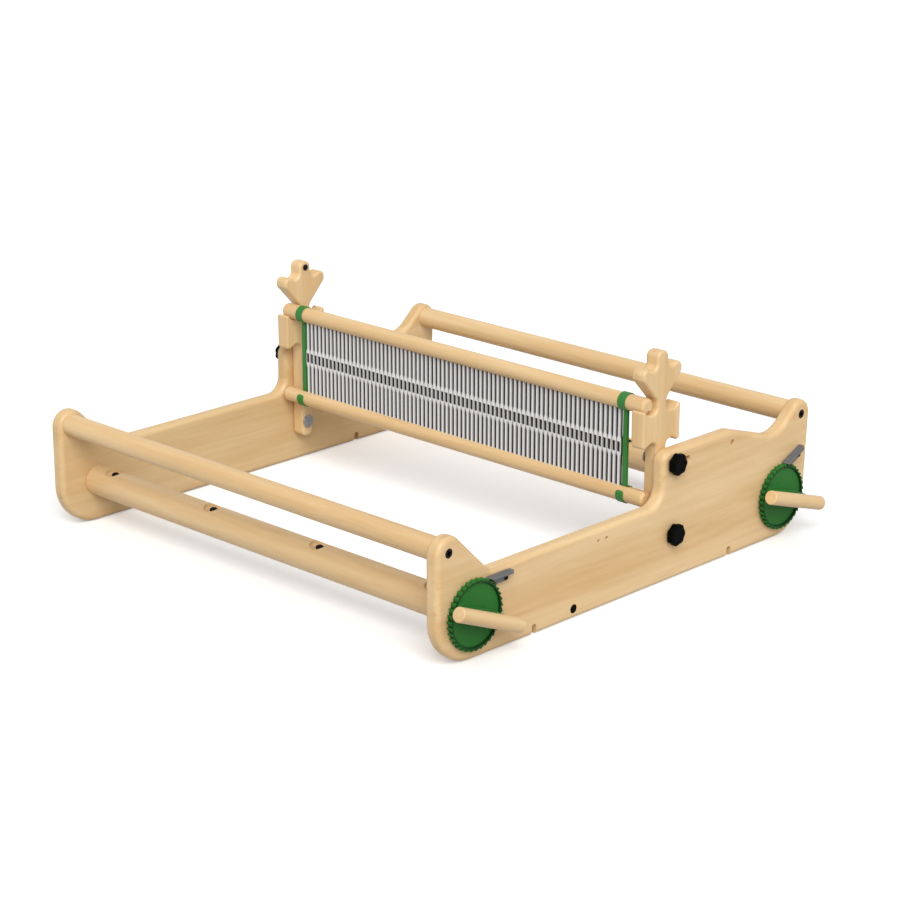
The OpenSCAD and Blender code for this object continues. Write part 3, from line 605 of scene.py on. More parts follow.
@dataclass(frozen=True)
class LacqueredMaple:
    """Sanded maple under thin satin lacquer: pale, with soft long figure and short dark flecks."""

    name: str
    grain: Grain
    light: str = "E9C998"
    dark: str = "D9B27C"
    fleck: str = "C0935A"
    turn: float = 0.0
    offset: float = 0.0
    figure_mm: float = 46.0
    streak_mm: float = 7.0
    # Real pores are 0.1 mm wide. They are drawn at 0.9 mm, so that they show.
    pore_mm: float = 0.9
    fleck_mm: float = 13.0
    stretch: float = 16.0
    streak_share: float = 0.55
    pore_share: float = 0.22
    shade_range: tuple[float, float] = (0.66, 1.12)
    fleck_range: tuple[float, float] = (0.69, 0.80)
    fleck_most: float = 0.5
    bump: float = 0.12
    bump_mm: float = 0.15
    roughness: float = 0.44
    rough_spread: tuple[float, float] = (0.06, 0.08)

    def material(self) -> bpy.types.Material:
        """Figure, streaks, pores and flecks are noises, drawn out along the grain.

        Returns:
            The material.
        """
        material, tree, shader = new_material(self.name)
        scale = [1.0, 1.0, 1.0]
        scale[self.grain.value] = self.stretch
        place = add_node(tree, "TexCoord").outputs["Object"]
        settled = add_node(tree, "Mapping", {"vector_type": "TEXTURE"}, Vector=place, Scale=scale,
                           Rotation=(math.radians(self.turn), 0.0, 0.0),
                           Location=(self.offset, self.offset * 0.7, self.offset * 0.4)).outputs[0]
        figure = noise(tree, settled, self.figure_mm, 2.0, 0.8)
        streaks = noise(tree, settled, self.streak_mm, 3.0, 0.4)
        pores = noise(tree, settled, self.pore_mm, 2.0)
        both = add_node(tree, "Math", {"operation": "MULTIPLY_ADD"}, i0=streaks,
                        i1=self.streak_share, i2=figure).outputs[0]
        both = add_node(tree, "Math", {"operation": "MULTIPLY_ADD"}, i0=pores,
                        i1=self.pore_share, i2=both).outputs[0]
        shade = ranged(tree, both, 0.0, 1.0, self.shade_range)
        spots = ranged(tree, noise(tree, settled, self.fleck_mm, 1.0, 0.3), 0.0, self.fleck_most,
                       self.fleck_range)
        board = blend(tree, shade, self.light, self.dark)
        less, more = self.rough_spread
        bump = add_node(tree, "Bump", None, Height=pores, Strength=self.bump,
                        Distance=self.bump_mm * MM)
        set_inputs(tree, shader, Base_Color=blend(tree, spots, board, self.fleck),
                   Roughness=ranged(tree, streaks, self.roughness - less, self.roughness + more),
                   Normal=bump.outputs[0], IOR=1.5)
        return material


@dataclass(frozen=True)
class MouldedPlastic:
    """Injection moulded plastic: an even colour with faint flow clouds and a fine eroded skin."""

    name: str
    colour: str
    shade: str
    roughness: float = 0.45
    specular: float = 0.5
    # Real spark erosion is 0.05 mm across. It is drawn at 0.35 mm, so that it shows.
    skin_mm: float = 0.35
    cloud_mm: float = 18.0
    bump: float = 0.1
    bump_mm: float = 0.05
    rough_spread: float = 0.08

    def material(self) -> bpy.types.Material:
        """Clouds mix two near colours, and a fine noise roughens the skin.

        Returns:
            The material.
        """
        material, tree, shader = new_material(self.name)
        place = add_node(tree, "TexCoord").outputs["Object"]
        clouds = noise(tree, place, self.cloud_mm, 2.0)
        skin = noise(tree, place, self.skin_mm, 1.0)
        bump = add_node(tree, "Bump", None, Height=skin, Strength=self.bump,
                        Distance=self.bump_mm * MM)
        rough = ranged(tree, skin, self.roughness - self.rough_spread,
                       self.roughness + self.rough_spread)
        set_inputs(tree, shader, Base_Color=blend(tree, clouds, self.colour, self.shade),
                   Roughness=rough, Normal=bump.outputs[0], Specular_IOR_Level=self.specular)
        return material


@dataclass(frozen=True)
class PaintedShadeNylon:
    """Moulded nylon with painted shade: darker where little light reaches, between blades or teeth."""

    name: str
    face: str
    deep: str
    centre: tuple[float, float, float]
    mask: tuple[float, float, float]
    base_mm: float
    deep_mm: float
    face_mm: float
    roughness: float = 0.35
    specular: float = 0.5

    def material(self) -> bpy.types.Material:
        """Colour: mix(deep, face, smoothstep(| |mask (p - centre)| - base |)).

        Returns:
            The material.
        """
        material, tree, shader = new_material(self.name)
        place = add_node(tree, "TexCoord").outputs["Object"]
        off = add_node(tree, "VectorMath", {"operation": "SUBTRACT"}, i0=place,
                       i1=[v * MM for v in self.centre])
        kept = add_node(tree, "VectorMath", {"operation": "MULTIPLY"}, i0=off.outputs[0],
                        i1=self.mask)
        away = add_node(tree, "VectorMath", {"operation": "LENGTH"}, i0=kept.outputs[0])
        past = add_node(tree, "Math", {"operation": "SUBTRACT"}, i0=away.outputs["Value"],
                        i1=self.base_mm * MM)
        depth = add_node(tree, "Math", {"operation": "ABSOLUTE"}, i0=past.outputs[0])
        share = add_node(tree, "MapRange", {"interpolation_type": "SMOOTHSTEP"},
                         Value=depth.outputs[0], From_Min=self.deep_mm * MM,
                         From_Max=self.face_mm * MM).outputs[0]
        set_inputs(tree, shader, Base_Color=blend(tree, share, self.deep, self.face),
                   Roughness=self.roughness, Specular_IOR_Level=self.specular)
        return material


@dataclass(frozen=True)
class SteelFinish:
    """Steel fasteners: zinc plated and bright, or blackened in an oil bath and nearly matt."""

    name: str
    colour: str
    shade: str
    metallic: float
    roughness: float
    specular: float = 0.5
    stain_mm: float = 2.5
    rough_spread: tuple[float, float] = (0.06, 0.1)

    def material(self) -> bpy.types.Material:
        """Stains a few millimetres across change the colour and the gloss a little.

        Returns:
            The material.
        """
        material, tree, shader = new_material(self.name)
        place = add_node(tree, "TexCoord").outputs["Object"]
        stains = noise(tree, place, self.stain_mm, 3.0)
        less, more = self.rough_spread
        set_inputs(tree, shader, Base_Color=blend(tree, stains, self.colour, self.shade),
                   Roughness=ranged(tree, stains, self.roughness - less, self.roughness + more),
                   Metallic=self.metallic, Specular_IOR_Level=self.specular)
        return material


class Finishes:
    """The loom's finishes, each made once."""

    def __init__(self) -> None:
        """Make every material that the pieces share."""
        maple, plastic, steel = LacqueredMaple, MouldedPlastic, SteelFinish
        self.panel = maple("maple_board", Grain.ALONG).material()
        # Painted shade: the left board is a darker copy of the same maple, standing in for the shade on
        # the left panel's inner face, laid on the whole board.
        self.left_panel = maple("maple_board_left", Grain.ALONG, light="E1C190", dark="D2AC76",
                                offset=0.37).material()
        self.holder = maple("maple_holder", Grain.UPRIGHT, offset=0.11).material()
        self.beam = maple("maple_beam", Grain.ACROSS, figure_mm=30.0).material()
        self.roller = maple("maple_roller", Grain.ACROSS, offset=0.23).material()
        self.rod = maple("maple_rod", Grain.ACROSS, offset=0.51, figure_mm=24.0).material()
        self.green = plastic("green_nylon", "2C702C", "28682A", 0.55, 0.15).material()
        self.clip_green = plastic("green_clip_nylon", "358038", "317A34", 0.45, 0.3).material()
        self.grey = plastic("grey_nylon", "6C6C6E", "626264", 0.5, 0.4).material()
        self.black = plastic("black_nylon", "020202", "040404", 0.65, 0.04).material()
        # Painted shade on the reed: dark at the middle of each blade's depth, on its flanks and in its
        # eye, and pale at its front and back.
        middle = (0.0, LAYOUT.rod_y - LAYOUT.middle_y, 0.0)
        self.reed = PaintedShadeNylon("pale_reed_nylon", "EAEAEA", "101010", middle, (0.0, 1.0, 0.0),
                                  0.0, 0.5, 3.2, specular=0.2).material()
        self.black_steel = steel("blackened_steel", "060607", "0C0C0D", 0.3, 0.5, 0.2).material()
        self.zinc = steel("zinc_plate", "8E8E90", "7C7C7E", 0.7, 0.36).material()

    def wheel(self, name: str, axis: tuple[float, float], base: float) -> bpy.types.Material:
        """Green nylon for a ratchet wheel, with painted shade that is darkest at the roots of its
        teeth.

        Args:
            name: the material's name.
            axis: the wheel's axis, as Y and Z.
            base: radius of the ring where the painted shade is darkest, in millimetres.

        Returns:
            The material.
        """
        centre = (0.0, axis[0] - LAYOUT.middle_y, axis[1])
        return PaintedShadeNylon(name, "2C702C", "14401A", centre, (0.0, 1.0, 1.0), base, 0.5, 2.6,
                             roughness=0.55, specular=0.15).material()

    def handle(self, name: str, fall: float) -> bpy.types.Material:
        """Maple whose grain follows a handle that falls by an angle in degrees."""
        return LacqueredMaple(name, Grain.ALONG, turn=-fall, figure_mm=22.0,
                              offset=0.05).material()


def dress(piece: Piece, body: str, slot: str, material: bpy.types.Material, *nodes: str) -> Piece:
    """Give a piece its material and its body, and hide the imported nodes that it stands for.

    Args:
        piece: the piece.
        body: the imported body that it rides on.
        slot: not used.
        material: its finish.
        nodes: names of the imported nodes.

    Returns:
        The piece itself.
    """
    piece.data.materials.clear()
    piece.data.materials.append(material)
    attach(piece, body)
    if nodes:
        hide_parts(*nodes)
    LOG.info("%s: %d faces", piece.name, len(piece.data.polygons))
    return piece


def bore(radius: float, x0: float, x1: float, place: tuple[float, float], flare: float = 0.0,
         steps: int = 64) -> Array:
    """Surface of a round hole to cut along X, with a small flare at its end x1.

    Args:
        radius: the hole's radius.
        x0: where the cut starts.
        x1: where the cut ends, past the face.
        place: the hole's axis, as Y and Z.
        flare: how far the mouth opens at the face.
        steps: points round the hole.

    Returns:
        Points for a solid.
    """
    length, wide = x1 - x0, radius + flare
    face = length - LAYOUT.cut_past
    rows = [[0.0, radius], [face - flare, radius], [face, wide], [length, wide]]
    profile = np.array(rows if flare else [rows[0], rows[-1]])
    return turned(profile, np.array([x0, *place]), ACROSS, steps)


def lathe(profile: Array, x: float, place: tuple[float, float], steps: int = 48) -> Solid:
    """A solid turned about an axis along X.

    Args:
        profile: rows of (along, radius).
        x: where along is zero.
        place: the axis, as Y and Z.
        steps: points round the axis.

    Returns:
        The solid.
    """
    return Solid().grid(turned(profile, np.array([x, *place]), ACROSS, steps))


def polygon(sides: int, radius: float) -> Array:
    """Outline of a regular polygon with the given radius over its corners."""
    a = np.arange(sides) * 2 * np.pi / sides
    return np.stack([np.cos(a), np.sin(a)], -1) * radius


def cross_slot(reach: float, half: float) -> Array:
    """Outline of a cross: one arm's corners, turned by four right angles.

    Args:
        reach: from the middle to an arm's end.
        half: half the width of an arm.

    Returns:
        Points of shape (12, 2).
    """
    arm = np.array([[-reach, -half], [-reach, half], [-half, half]])
    turn = np.array([[0.0, -1.0], [1.0, 0.0]])
    return np.concatenate([arm @ np.linalg.matrix_power(turn, k) for k in range(4)])


@dataclass
class SidePanel:
    """One shaped side panel, with its bores, slot and notches."""

    side: Side
    finishes: Finishes
    low_h: float = 90.0
    high_h: float = 147.8
    edge: float = 6.0
    corner_r: float = 50.0
    front_lobe: tuple[float, float, float] = (19.0, 120.4, 19.0)
    back_lobe_r: float = 16.4
    riser_y: float = 345.5
    riser_foot_r: float = 19.0
    riser_top_r: float = 13.0
    step_r: float = 8.0
    dip_r: float = 38.0
    front_slope: float = -44.6
    raised_slope: float = -17.4
    back_slope: float = 42.0
    raised_end_y: float = 462.0
    accessory_hole: tuple[float, float, float] = (463.9, 133.7, 3.0)
    pilot_holes: tuple[tuple[float, float], ...] = ((241.4, 76.8), (254.2, 76.8))
    pilot_r: float = 2.0
    pilot_depth: float = 12.0
    notch_w: float = 7.0
    notch_h: float = 12.0
    notch_in: float = 142.3
    head_r: float = 5.2
    run_fit: float = 0.06
    slot_play: float = 0.4
    wide_flare: float = 0.4
    head_flare: float = 0.3
    narrow_flare: float = 0.2
    journal_r: float = 10.06
    pivot_shank_r: float = 4.06
    pivot_head_r: float = 7.2
    pivot_head_depth: float = 8.6

    def outline(self) -> tuple[Array, Array]:
        """Clockwise outline: two corners, two lobes and a stepped top edge between them.

        Returns:
            The points and their outward directions, each of shape (n, 2).
        """
        back_beam = np.array(LAYOUT.back_beam)
        back_corner = np.array([LAYOUT.warp_axis[0], self.corner_r])
        lean = math.degrees(math.acos((self.corner_r - self.back_lobe_r)
                                      / np.linalg.norm(back_beam - back_corner)))
        down = heading(back_corner, back_beam) - lean - 90
        lobe = corner_of(np.array(self.front_lobe[:2]), self.front_lobe[2], 90, self.front_slope)
        back_lobe = corner_of(back_beam, self.back_lobe_r, self.back_slope, down)
        low_edge = np.array([0.0, self.low_h])
        raised_end = np.array([self.raised_end_y, self.high_h])
        dip = meet(raised_end, self.raised_slope, back_lobe[:2], self.back_slope)
        return rounded_outline([
            corner_of(np.array([self.corner_r, self.corner_r]), self.corner_r, -180, -270),
            lobe,
            np.append(meet(lobe[:2], self.front_slope, low_edge, 0), self.step_r),
            np.array([self.riser_y, self.low_h, self.riser_foot_r]),
            np.array([self.riser_y, self.high_h, self.riser_top_r]),
            np.append(raised_end, self.step_r),
            np.append(dip, self.dip_r),
            back_lobe,
            corner_of(back_corner, self.corner_r, down, -180),
        ], arc_step=4.0)

    def cuts(self) -> Solid:
        """Every hole, slot and notch, each a closed surface clear of the others.

        Returns:
            The solid to cut away, for the right side.
        """
        past, outer_x = LAYOUT.cut_past, LAYOUT.outer_x
        inner, outer = LAYOUT.inner_x - past, outer_x + past
        cuts = Solid()
        for place in (LAYOUT.front_beam, LAYOUT.back_beam):
            cuts.grid(bore(self.head_r, outer_x - LAYOUT.screw_seat, outer, place, self.head_flare))
        slot = stadium((LAYOUT.holder_in - self.slot_play, LAYOUT.slot_bolt_h), LAYOUT.slot_r,
                       (LAYOUT.slot_travel + 2 * self.slot_play, 0.0))
        cuts.grid(prism(slot, inner, outer))
        cuts.grid(bore(LAYOUT.bolt_r + self.run_fit, inner, outer,
                       (LAYOUT.holder_in, LAYOUT.pivot_bolt_h)))
        y, z, r = self.accessory_hole
        cuts.grid(bore(r, inner, outer, (y, z), self.wide_flare))
        for place in self.pilot_holes:
            cuts.grid(bore(self.pilot_r, outer_x - self.pilot_depth, outer, place,
                           self.narrow_flare))
        y, z, r = LAYOUT.plug
        cuts.grid(bore(r, outer_x - LAYOUT.plug_depth, outer, (y, z), self.narrow_flare))
        half = self.notch_w / 2
        for y in (self.notch_in, LAYOUT.panel_len - self.notch_in):
            arch = stadium((y, -half - past), half, (0.0, self.notch_h + past))
            cuts.grid(prism(arch, inner, outer))
        for place in (LAYOUT.cloth_axis, LAYOUT.warp_axis):
            cuts.grid(bore(self.journal_r, inner, outer, place) if self.side is Side.RIGHT
                      else self.pivot_bore(inner, place))
        return cuts

    def pivot_bore(self, start: float, place: tuple[float, float]) -> Array:
        """Bore and flared counterbore for the screw that a roller's left end turns on.

        Args:
            start: where the cut starts, before the inner face.
            place: the roller's axis, as Y and Z.

        Returns:
            Points for a solid.
        """
        face = LAYOUT.panel_t + LAYOUT.cut_past
        shoulder, wide = face - self.pivot_head_depth, self.pivot_head_r + self.wide_flare
        step = np.array([[0.0, self.pivot_shank_r], [shoulder, self.pivot_shank_r],
                         [shoulder, self.pivot_head_r], [face - self.wide_flare, self.pivot_head_r],
                         [face, wide], [face + LAYOUT.cut_past, wide]])
        return turned(step, np.array([start, *place]), ACROSS, 64)

    def build(self) -> None:
        """Make the panel and dress it."""
        name = f"{self.side.name.lower()}_side_panel"
        body = Solid().grid(plate(self.outline(), LAYOUT.inner_x, LAYOUT.outer_x, self.edge, 8))
        piece = new_piece(name + "_board", body.mirrored(self.side),
                          self.cuts().mirrored(self.side))
        # The left board takes the darker copy of the maple, which is painted shade.
        wood = self.finishes.panel if self.side is Side.RIGHT else self.finishes.left_panel
        dress(piece, "frame", "panel_wood", wood, name)


@dataclass
class Crossbars:
    """The two fixed beams with their cap screws, and the plugs of the panels."""

    finishes: Finishes
    beam_edge: float = 0.4
    screw_r: float = 5.0
    screw_head: float = 6.0
    screw_edge: float = 0.5
    shank_r: float = 3.0
    shank_len: float = 20.0
    neck: float = 0.1
    socket_r: float = 2.9
    socket_depth: float = 3.2
    plug_dome: float = 0.9
    plug_sink: float = 0.6

    def cap_screws(self, name: str, place: tuple[float, float]) -> None:
        """Make the pair of socket head screws at a beam's two ends.

        Args:
            name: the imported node's name.
            place: the beam's axis, as Y and Z.
        """
        start = LAYOUT.outer_x - LAYOUT.screw_seat
        top = start + self.screw_head
        shank = [[0.0, self.shank_r], [self.shank_len - self.neck, self.shank_r]]
        head = rounded_bar(self.screw_head, self.screw_r, self.screw_edge) + [self.shank_len, 0]
        screw = lathe(np.concatenate([shank, head]), start - self.shank_len, place)
        socket = Solid().grid(prism(polygon(6, self.socket_r) + place, top - self.socket_depth,
                                    top + LAYOUT.cut_past))
        for side in Side:
            piece = new_piece(f"{name}_{side.name.lower()}", screw.mirrored(side),
                              socket.mirrored(side))
            dress(piece, "frame", "black_steel", self.finishes.black_steel, name)

    def build(self) -> None:
        """Make the beams, their screws and the plugs."""
        bar = rounded_bar(2 * LAYOUT.inner_x, LAYOUT.beam_r, self.beam_edge, 3)
        for name, place in (("front_beam", LAYOUT.front_beam), ("back_beam", LAYOUT.back_beam)):
            piece = new_piece(name + "_dowel", lathe(bar, -LAYOUT.inner_x, place, 96))
            dress(piece, "frame", "turned_wood", self.finishes.beam, name)
            self.cap_screws(name + "_screws", place)
        y, z, r = LAYOUT.plug
        dome = domed_head(r, self.plug_dome) + [LAYOUT.plug_depth - self.plug_sink, 0]
        plug = lathe(np.concatenate([[[0.0, r]], dome]), LAYOUT.outer_x - LAYOUT.plug_depth, (y, z))
        for side in Side:
            piece = new_piece(f"panel_plug_{side.name.lower()}", plug.mirrored(side))
            dress(piece, "frame", "black_plastic", self.finishes.black, "panel_plugs")


@dataclass
class RollerSet:
    """A roller with its cord screws, ratchet wheel and cross handle."""

    name: str
    axis: tuple[float, float]
    fall: float
    finishes: Finishes
    end_play: float = 0.4
    roller_edge: float = 0.8
    journal_r: float = 10.0
    journal_len: float = 23.0
    recess_r: float = 11.0
    recess_edge: float = 0.8
    recess_depth: float = 5.3
    recess_pitch: float = 170.6
    recess_count: int = 4
    recess_cut: float = 12.0
    cord_screw_r: float = 4.5
    cord_screw_h: float = 3.8
    cord_shank: tuple[float, float, float] = (1.75, -1.5, 0.5)
    cross_reach: float = 2.6
    cross_half: float = 0.55
    cross_depth: float = 1.6
    tooth_count: int = 35
    tip_r: float = 38.4
    tooth_h: float = 3.0
    tooth_flank: float = 0.1
    tooth_bend: float = 0.85
    wheel_bevel: float = 0.25
    rim_t: float = 6.0
    rim_w: float = 1.2
    face_sink: float = 2.5
    saddle_w: float = 21.0
    saddle_end_w: float = 16.8
    saddle_len: float = 62.0
    saddle_h: float = 15.5
    handle_r: float = 8.0
    handle_len: float = 98.0
    handle_out: float = 24.5
    handle_edge: float = 1.2
    pivot_head_r: float = 6.5
    pivot_head_h: float = 8.0
    pivot_edge: float = 0.6
    pivot_sink: float = 0.2
    pivot_shank_r: float = 4.0
    pivot_len: float = 20.0
    pivot_socket_r: float = 3.5
    pivot_socket_depth: float = 4.0

    @property
    def purpose(self) -> str:
        """First word of the roller's name, which its wheel and handle share."""
        return self.name.split("_")[0]

    @property
    def along(self) -> Array:
        """Direction of the handle, from its raised front end to its low back end."""
        return np.array([0.0, *unit(-self.fall)])

    @property
    def recess_floor(self) -> float:
        """Height of the recesses' floor."""
        return self.axis[1] + LAYOUT.roller_r - self.recess_depth

    def roller(self) -> None:
        """Turn the roller and its journal, and bore its four recesses."""
        end = LAYOUT.inner_x - self.end_play
        rim = rounded_bar(2 * end, LAYOUT.roller_r, self.roller_edge, 4)
        journal = [[2 * end, self.journal_r], [2 * end + self.journal_len, self.journal_r]]
        cut = np.array([[0.0, self.recess_r - self.recess_edge], [self.recess_edge, self.recess_r],
                        [self.recess_cut, self.recess_r]])
        cuts = Solid()
        for x in self.recess_places():
            cuts.grid(turned(cut, np.array([x, self.axis[0], self.recess_floor]), UPWARD, 64))
        piece = new_piece(f"{self.name}_dowel",
                          lathe(np.concatenate([rim, journal]), -end, self.axis, 96), cuts)
        dress(piece, self.name, "turned_wood", self.finishes.roller, self.name)

    def recess_places(self) -> Array:
        """X of the recesses, evenly spaced about the middle."""
        return (np.arange(self.recess_count) - (self.recess_count - 1) / 2) * self.recess_pitch

    def cord_screws(self) -> None:
        """Pan head screws with a cross slot, one in each recess."""
        floor, name, steel = self.recess_floor, f"{self.name}_cord_screw", self.finishes.black_steel
        base = np.array([0.0, self.axis[0], floor])
        r, low, high = self.cord_shank
        shank = Solid().grid(turned(np.array([[low, r], [high, r]]), base, UPWARD, 24))
        dome = domed_head(self.cord_screw_r, self.cord_screw_h)
        head = Solid().grid(turned(dome, base, UPWARD, 40))
        top = floor + self.cord_screw_h
        cross = cross_slot(self.cross_reach, self.cross_half) + [0, self.axis[0]]
        slots = Solid().grid(prism(cross, top - self.cross_depth, top + LAYOUT.cut_past, 2))
        places = self.recess_places()[:, None] * ACROSS
        for number, place in enumerate(places):
            piece = new_piece(f"{name}_{number}", head.copies(place[None]),
                              slots.copies(place[None]))
            dress(piece, self.name, "black_steel", steel, name + "s")
        stem = new_piece(name + "_stems", shank.copies(places))
        dress(stem, self.name, "black_steel", steel)

    def pivot_screw(self) -> None:
        """Socket head screw that carries the roller's left end."""
        start = self.pivot_sink - LAYOUT.outer_x
        head = rounded_bar(self.pivot_head_h, self.pivot_head_r, self.pivot_edge)
        shank = [[self.pivot_head_h, self.pivot_shank_r], [self.pivot_len, self.pivot_shank_r]]
        socket = Solid().grid(prism(polygon(6, self.pivot_socket_r) + self.axis,
                                    start - LAYOUT.cut_past, start + self.pivot_socket_depth))
        piece = new_piece(f"{self.name}_pivot",
                          lathe(np.concatenate([head, shank]), start, self.axis), socket)
        dress(piece, self.name, "black_steel", self.finishes.black_steel,
              f"{self.name}_pivot_screw")

    def wheel(self) -> None:
        """Ratchet wheel: r(u) = tip - height u ** bend along each tooth, round a sunk face."""
        share = np.linspace(0, 1, 6, endpoint=False)
        u = np.concatenate([[0.0], self.tooth_flank + (1 - self.tooth_flank) * share])
        root = self.tip_r - self.tooth_h
        r = np.concatenate([[root], self.tip_r - self.tooth_h * share ** self.tooth_bend])
        teeth_before = np.arange(self.tooth_count)[:, None]
        angle = (teeth_before + u).ravel() * 2 * np.pi / self.tooth_count
        rays = np.stack([np.cos(angle), np.sin(angle)], -1)
        teeth = rays * np.tile(r, self.tooth_count)[:, None] + self.axis
        inside = rays * (root - self.rim_w) + self.axis
        back = LAYOUT.outer_x + LAYOUT.wheel_gap
        rows = [(teeth, back), (teeth, back + self.rim_t), (inside, back + self.rim_t),
                (inside, back + self.rim_t - self.face_sink)]
        solid = Solid().grid(np.stack([np.insert(flat, 0, x, axis=1) for flat, x in rows]))
        piece = soften(new_piece(f"{self.purpose}_wheel_disc", solid), self.wheel_bevel, angle=40.0)
        # Painted shade: the nylon is darkest in a ring at the roots of the teeth.
        green = self.finishes.wheel(f"{self.purpose}_wheel_nylon", self.axis, root - self.rim_w / 2)
        dress(piece, self.name, "green_plastic", green, f"{self.purpose}_ratchet_wheel")
        self.saddle(back + self.rim_t - self.face_sink)

    def saddle_outline(self, draw: float) -> Array:
        """Outline round three discs, the middle one wider: p(v) = centre(v) + r(v) (cos v, sin v).

        Args:
            draw: how much smaller every radius is.

        Returns:
            Points of shape (n, 2), as places along and across the handle.
        """
        reach = (self.saddle_len - self.saddle_end_w) / 2
        lean = math.asin((self.saddle_w - self.saddle_end_w) / 2 / reach)
        end = np.linspace(lean - np.pi / 2, np.pi / 2 - lean, 19)
        side = np.linspace(np.pi / 2 - lean, np.pi / 2 + lean, 7)
        v = np.concatenate([end, side, end + np.pi, side + np.pi])
        middle = np.concatenate([0 * end, side / side, 0 * end, side / side])
        r = np.where(middle, self.saddle_w, self.saddle_end_w) / 2 - draw
        centre = np.sign(np.cos(v)) * reach * (1 - middle)
        return np.stack([centre + r * np.cos(v), r * np.sin(v)], -1)

    def saddle(self, base_x: float) -> None:
        """Saddle: outlines that draw in as they rise from a fillet, cut to the handle's round.

        Args:
            base_x: place of the wheel's sunk face.
        """
        # Rows of height and draw: the fillet, the drafted side and the rounded top.
        top = self.saddle_h
        profile = [(-0.8, -1.0), (0.0, -1.0), (0.4, -0.4), (1.2, 0.0), (3.0, 0.08),
                   (top / 2, 0.25), (top - 0.9, 0.45), (top - 0.25, 0.7), (top, 1.2)]
        along = unit(-self.fall)
        across = np.array([-along[1], along[0]])
        turn = np.stack([along, across])
        rows = [np.insert(self.saddle_outline(d) @ turn + self.axis, 0, base_x + h, axis=1)
                for h, d in profile]
        reach = self.saddle_len
        handle = Solid().grid(turned(np.array([[-reach, self.handle_r], [reach, self.handle_r]]),
                                     self.handle_middle(), self.along, 96))
        piece = new_piece(f"{self.purpose}_wheel_saddle", Solid().grid(np.stack(rows)), handle)
        dress(piece, self.name, "green_plastic", self.finishes.green)

    def handle_middle(self) -> Array:
        """Middle of the handle's axis."""
        return np.array([LAYOUT.outer_x + self.handle_out, *self.axis])

    def handle(self) -> None:
        """Plain dowel with its rims broken."""
        profile = rounded_bar(self.handle_len, self.handle_r, self.handle_edge)
        start = self.handle_middle() - self.along * self.handle_len / 2
        piece = new_piece(f"{self.purpose}_handle_dowel",
                          Solid().grid(turned(profile, start, self.along, 72)))
        wood = self.finishes.handle(f"maple_{self.purpose}_handle", self.fall)
        dress(piece, self.name, "turned_wood", wood, f"{self.purpose}_handle")

    def build(self) -> None:
        """Make every piece of the set."""
        self.roller()
        self.cord_screws()
        self.pivot_screw()
        self.wheel()
        self.handle()


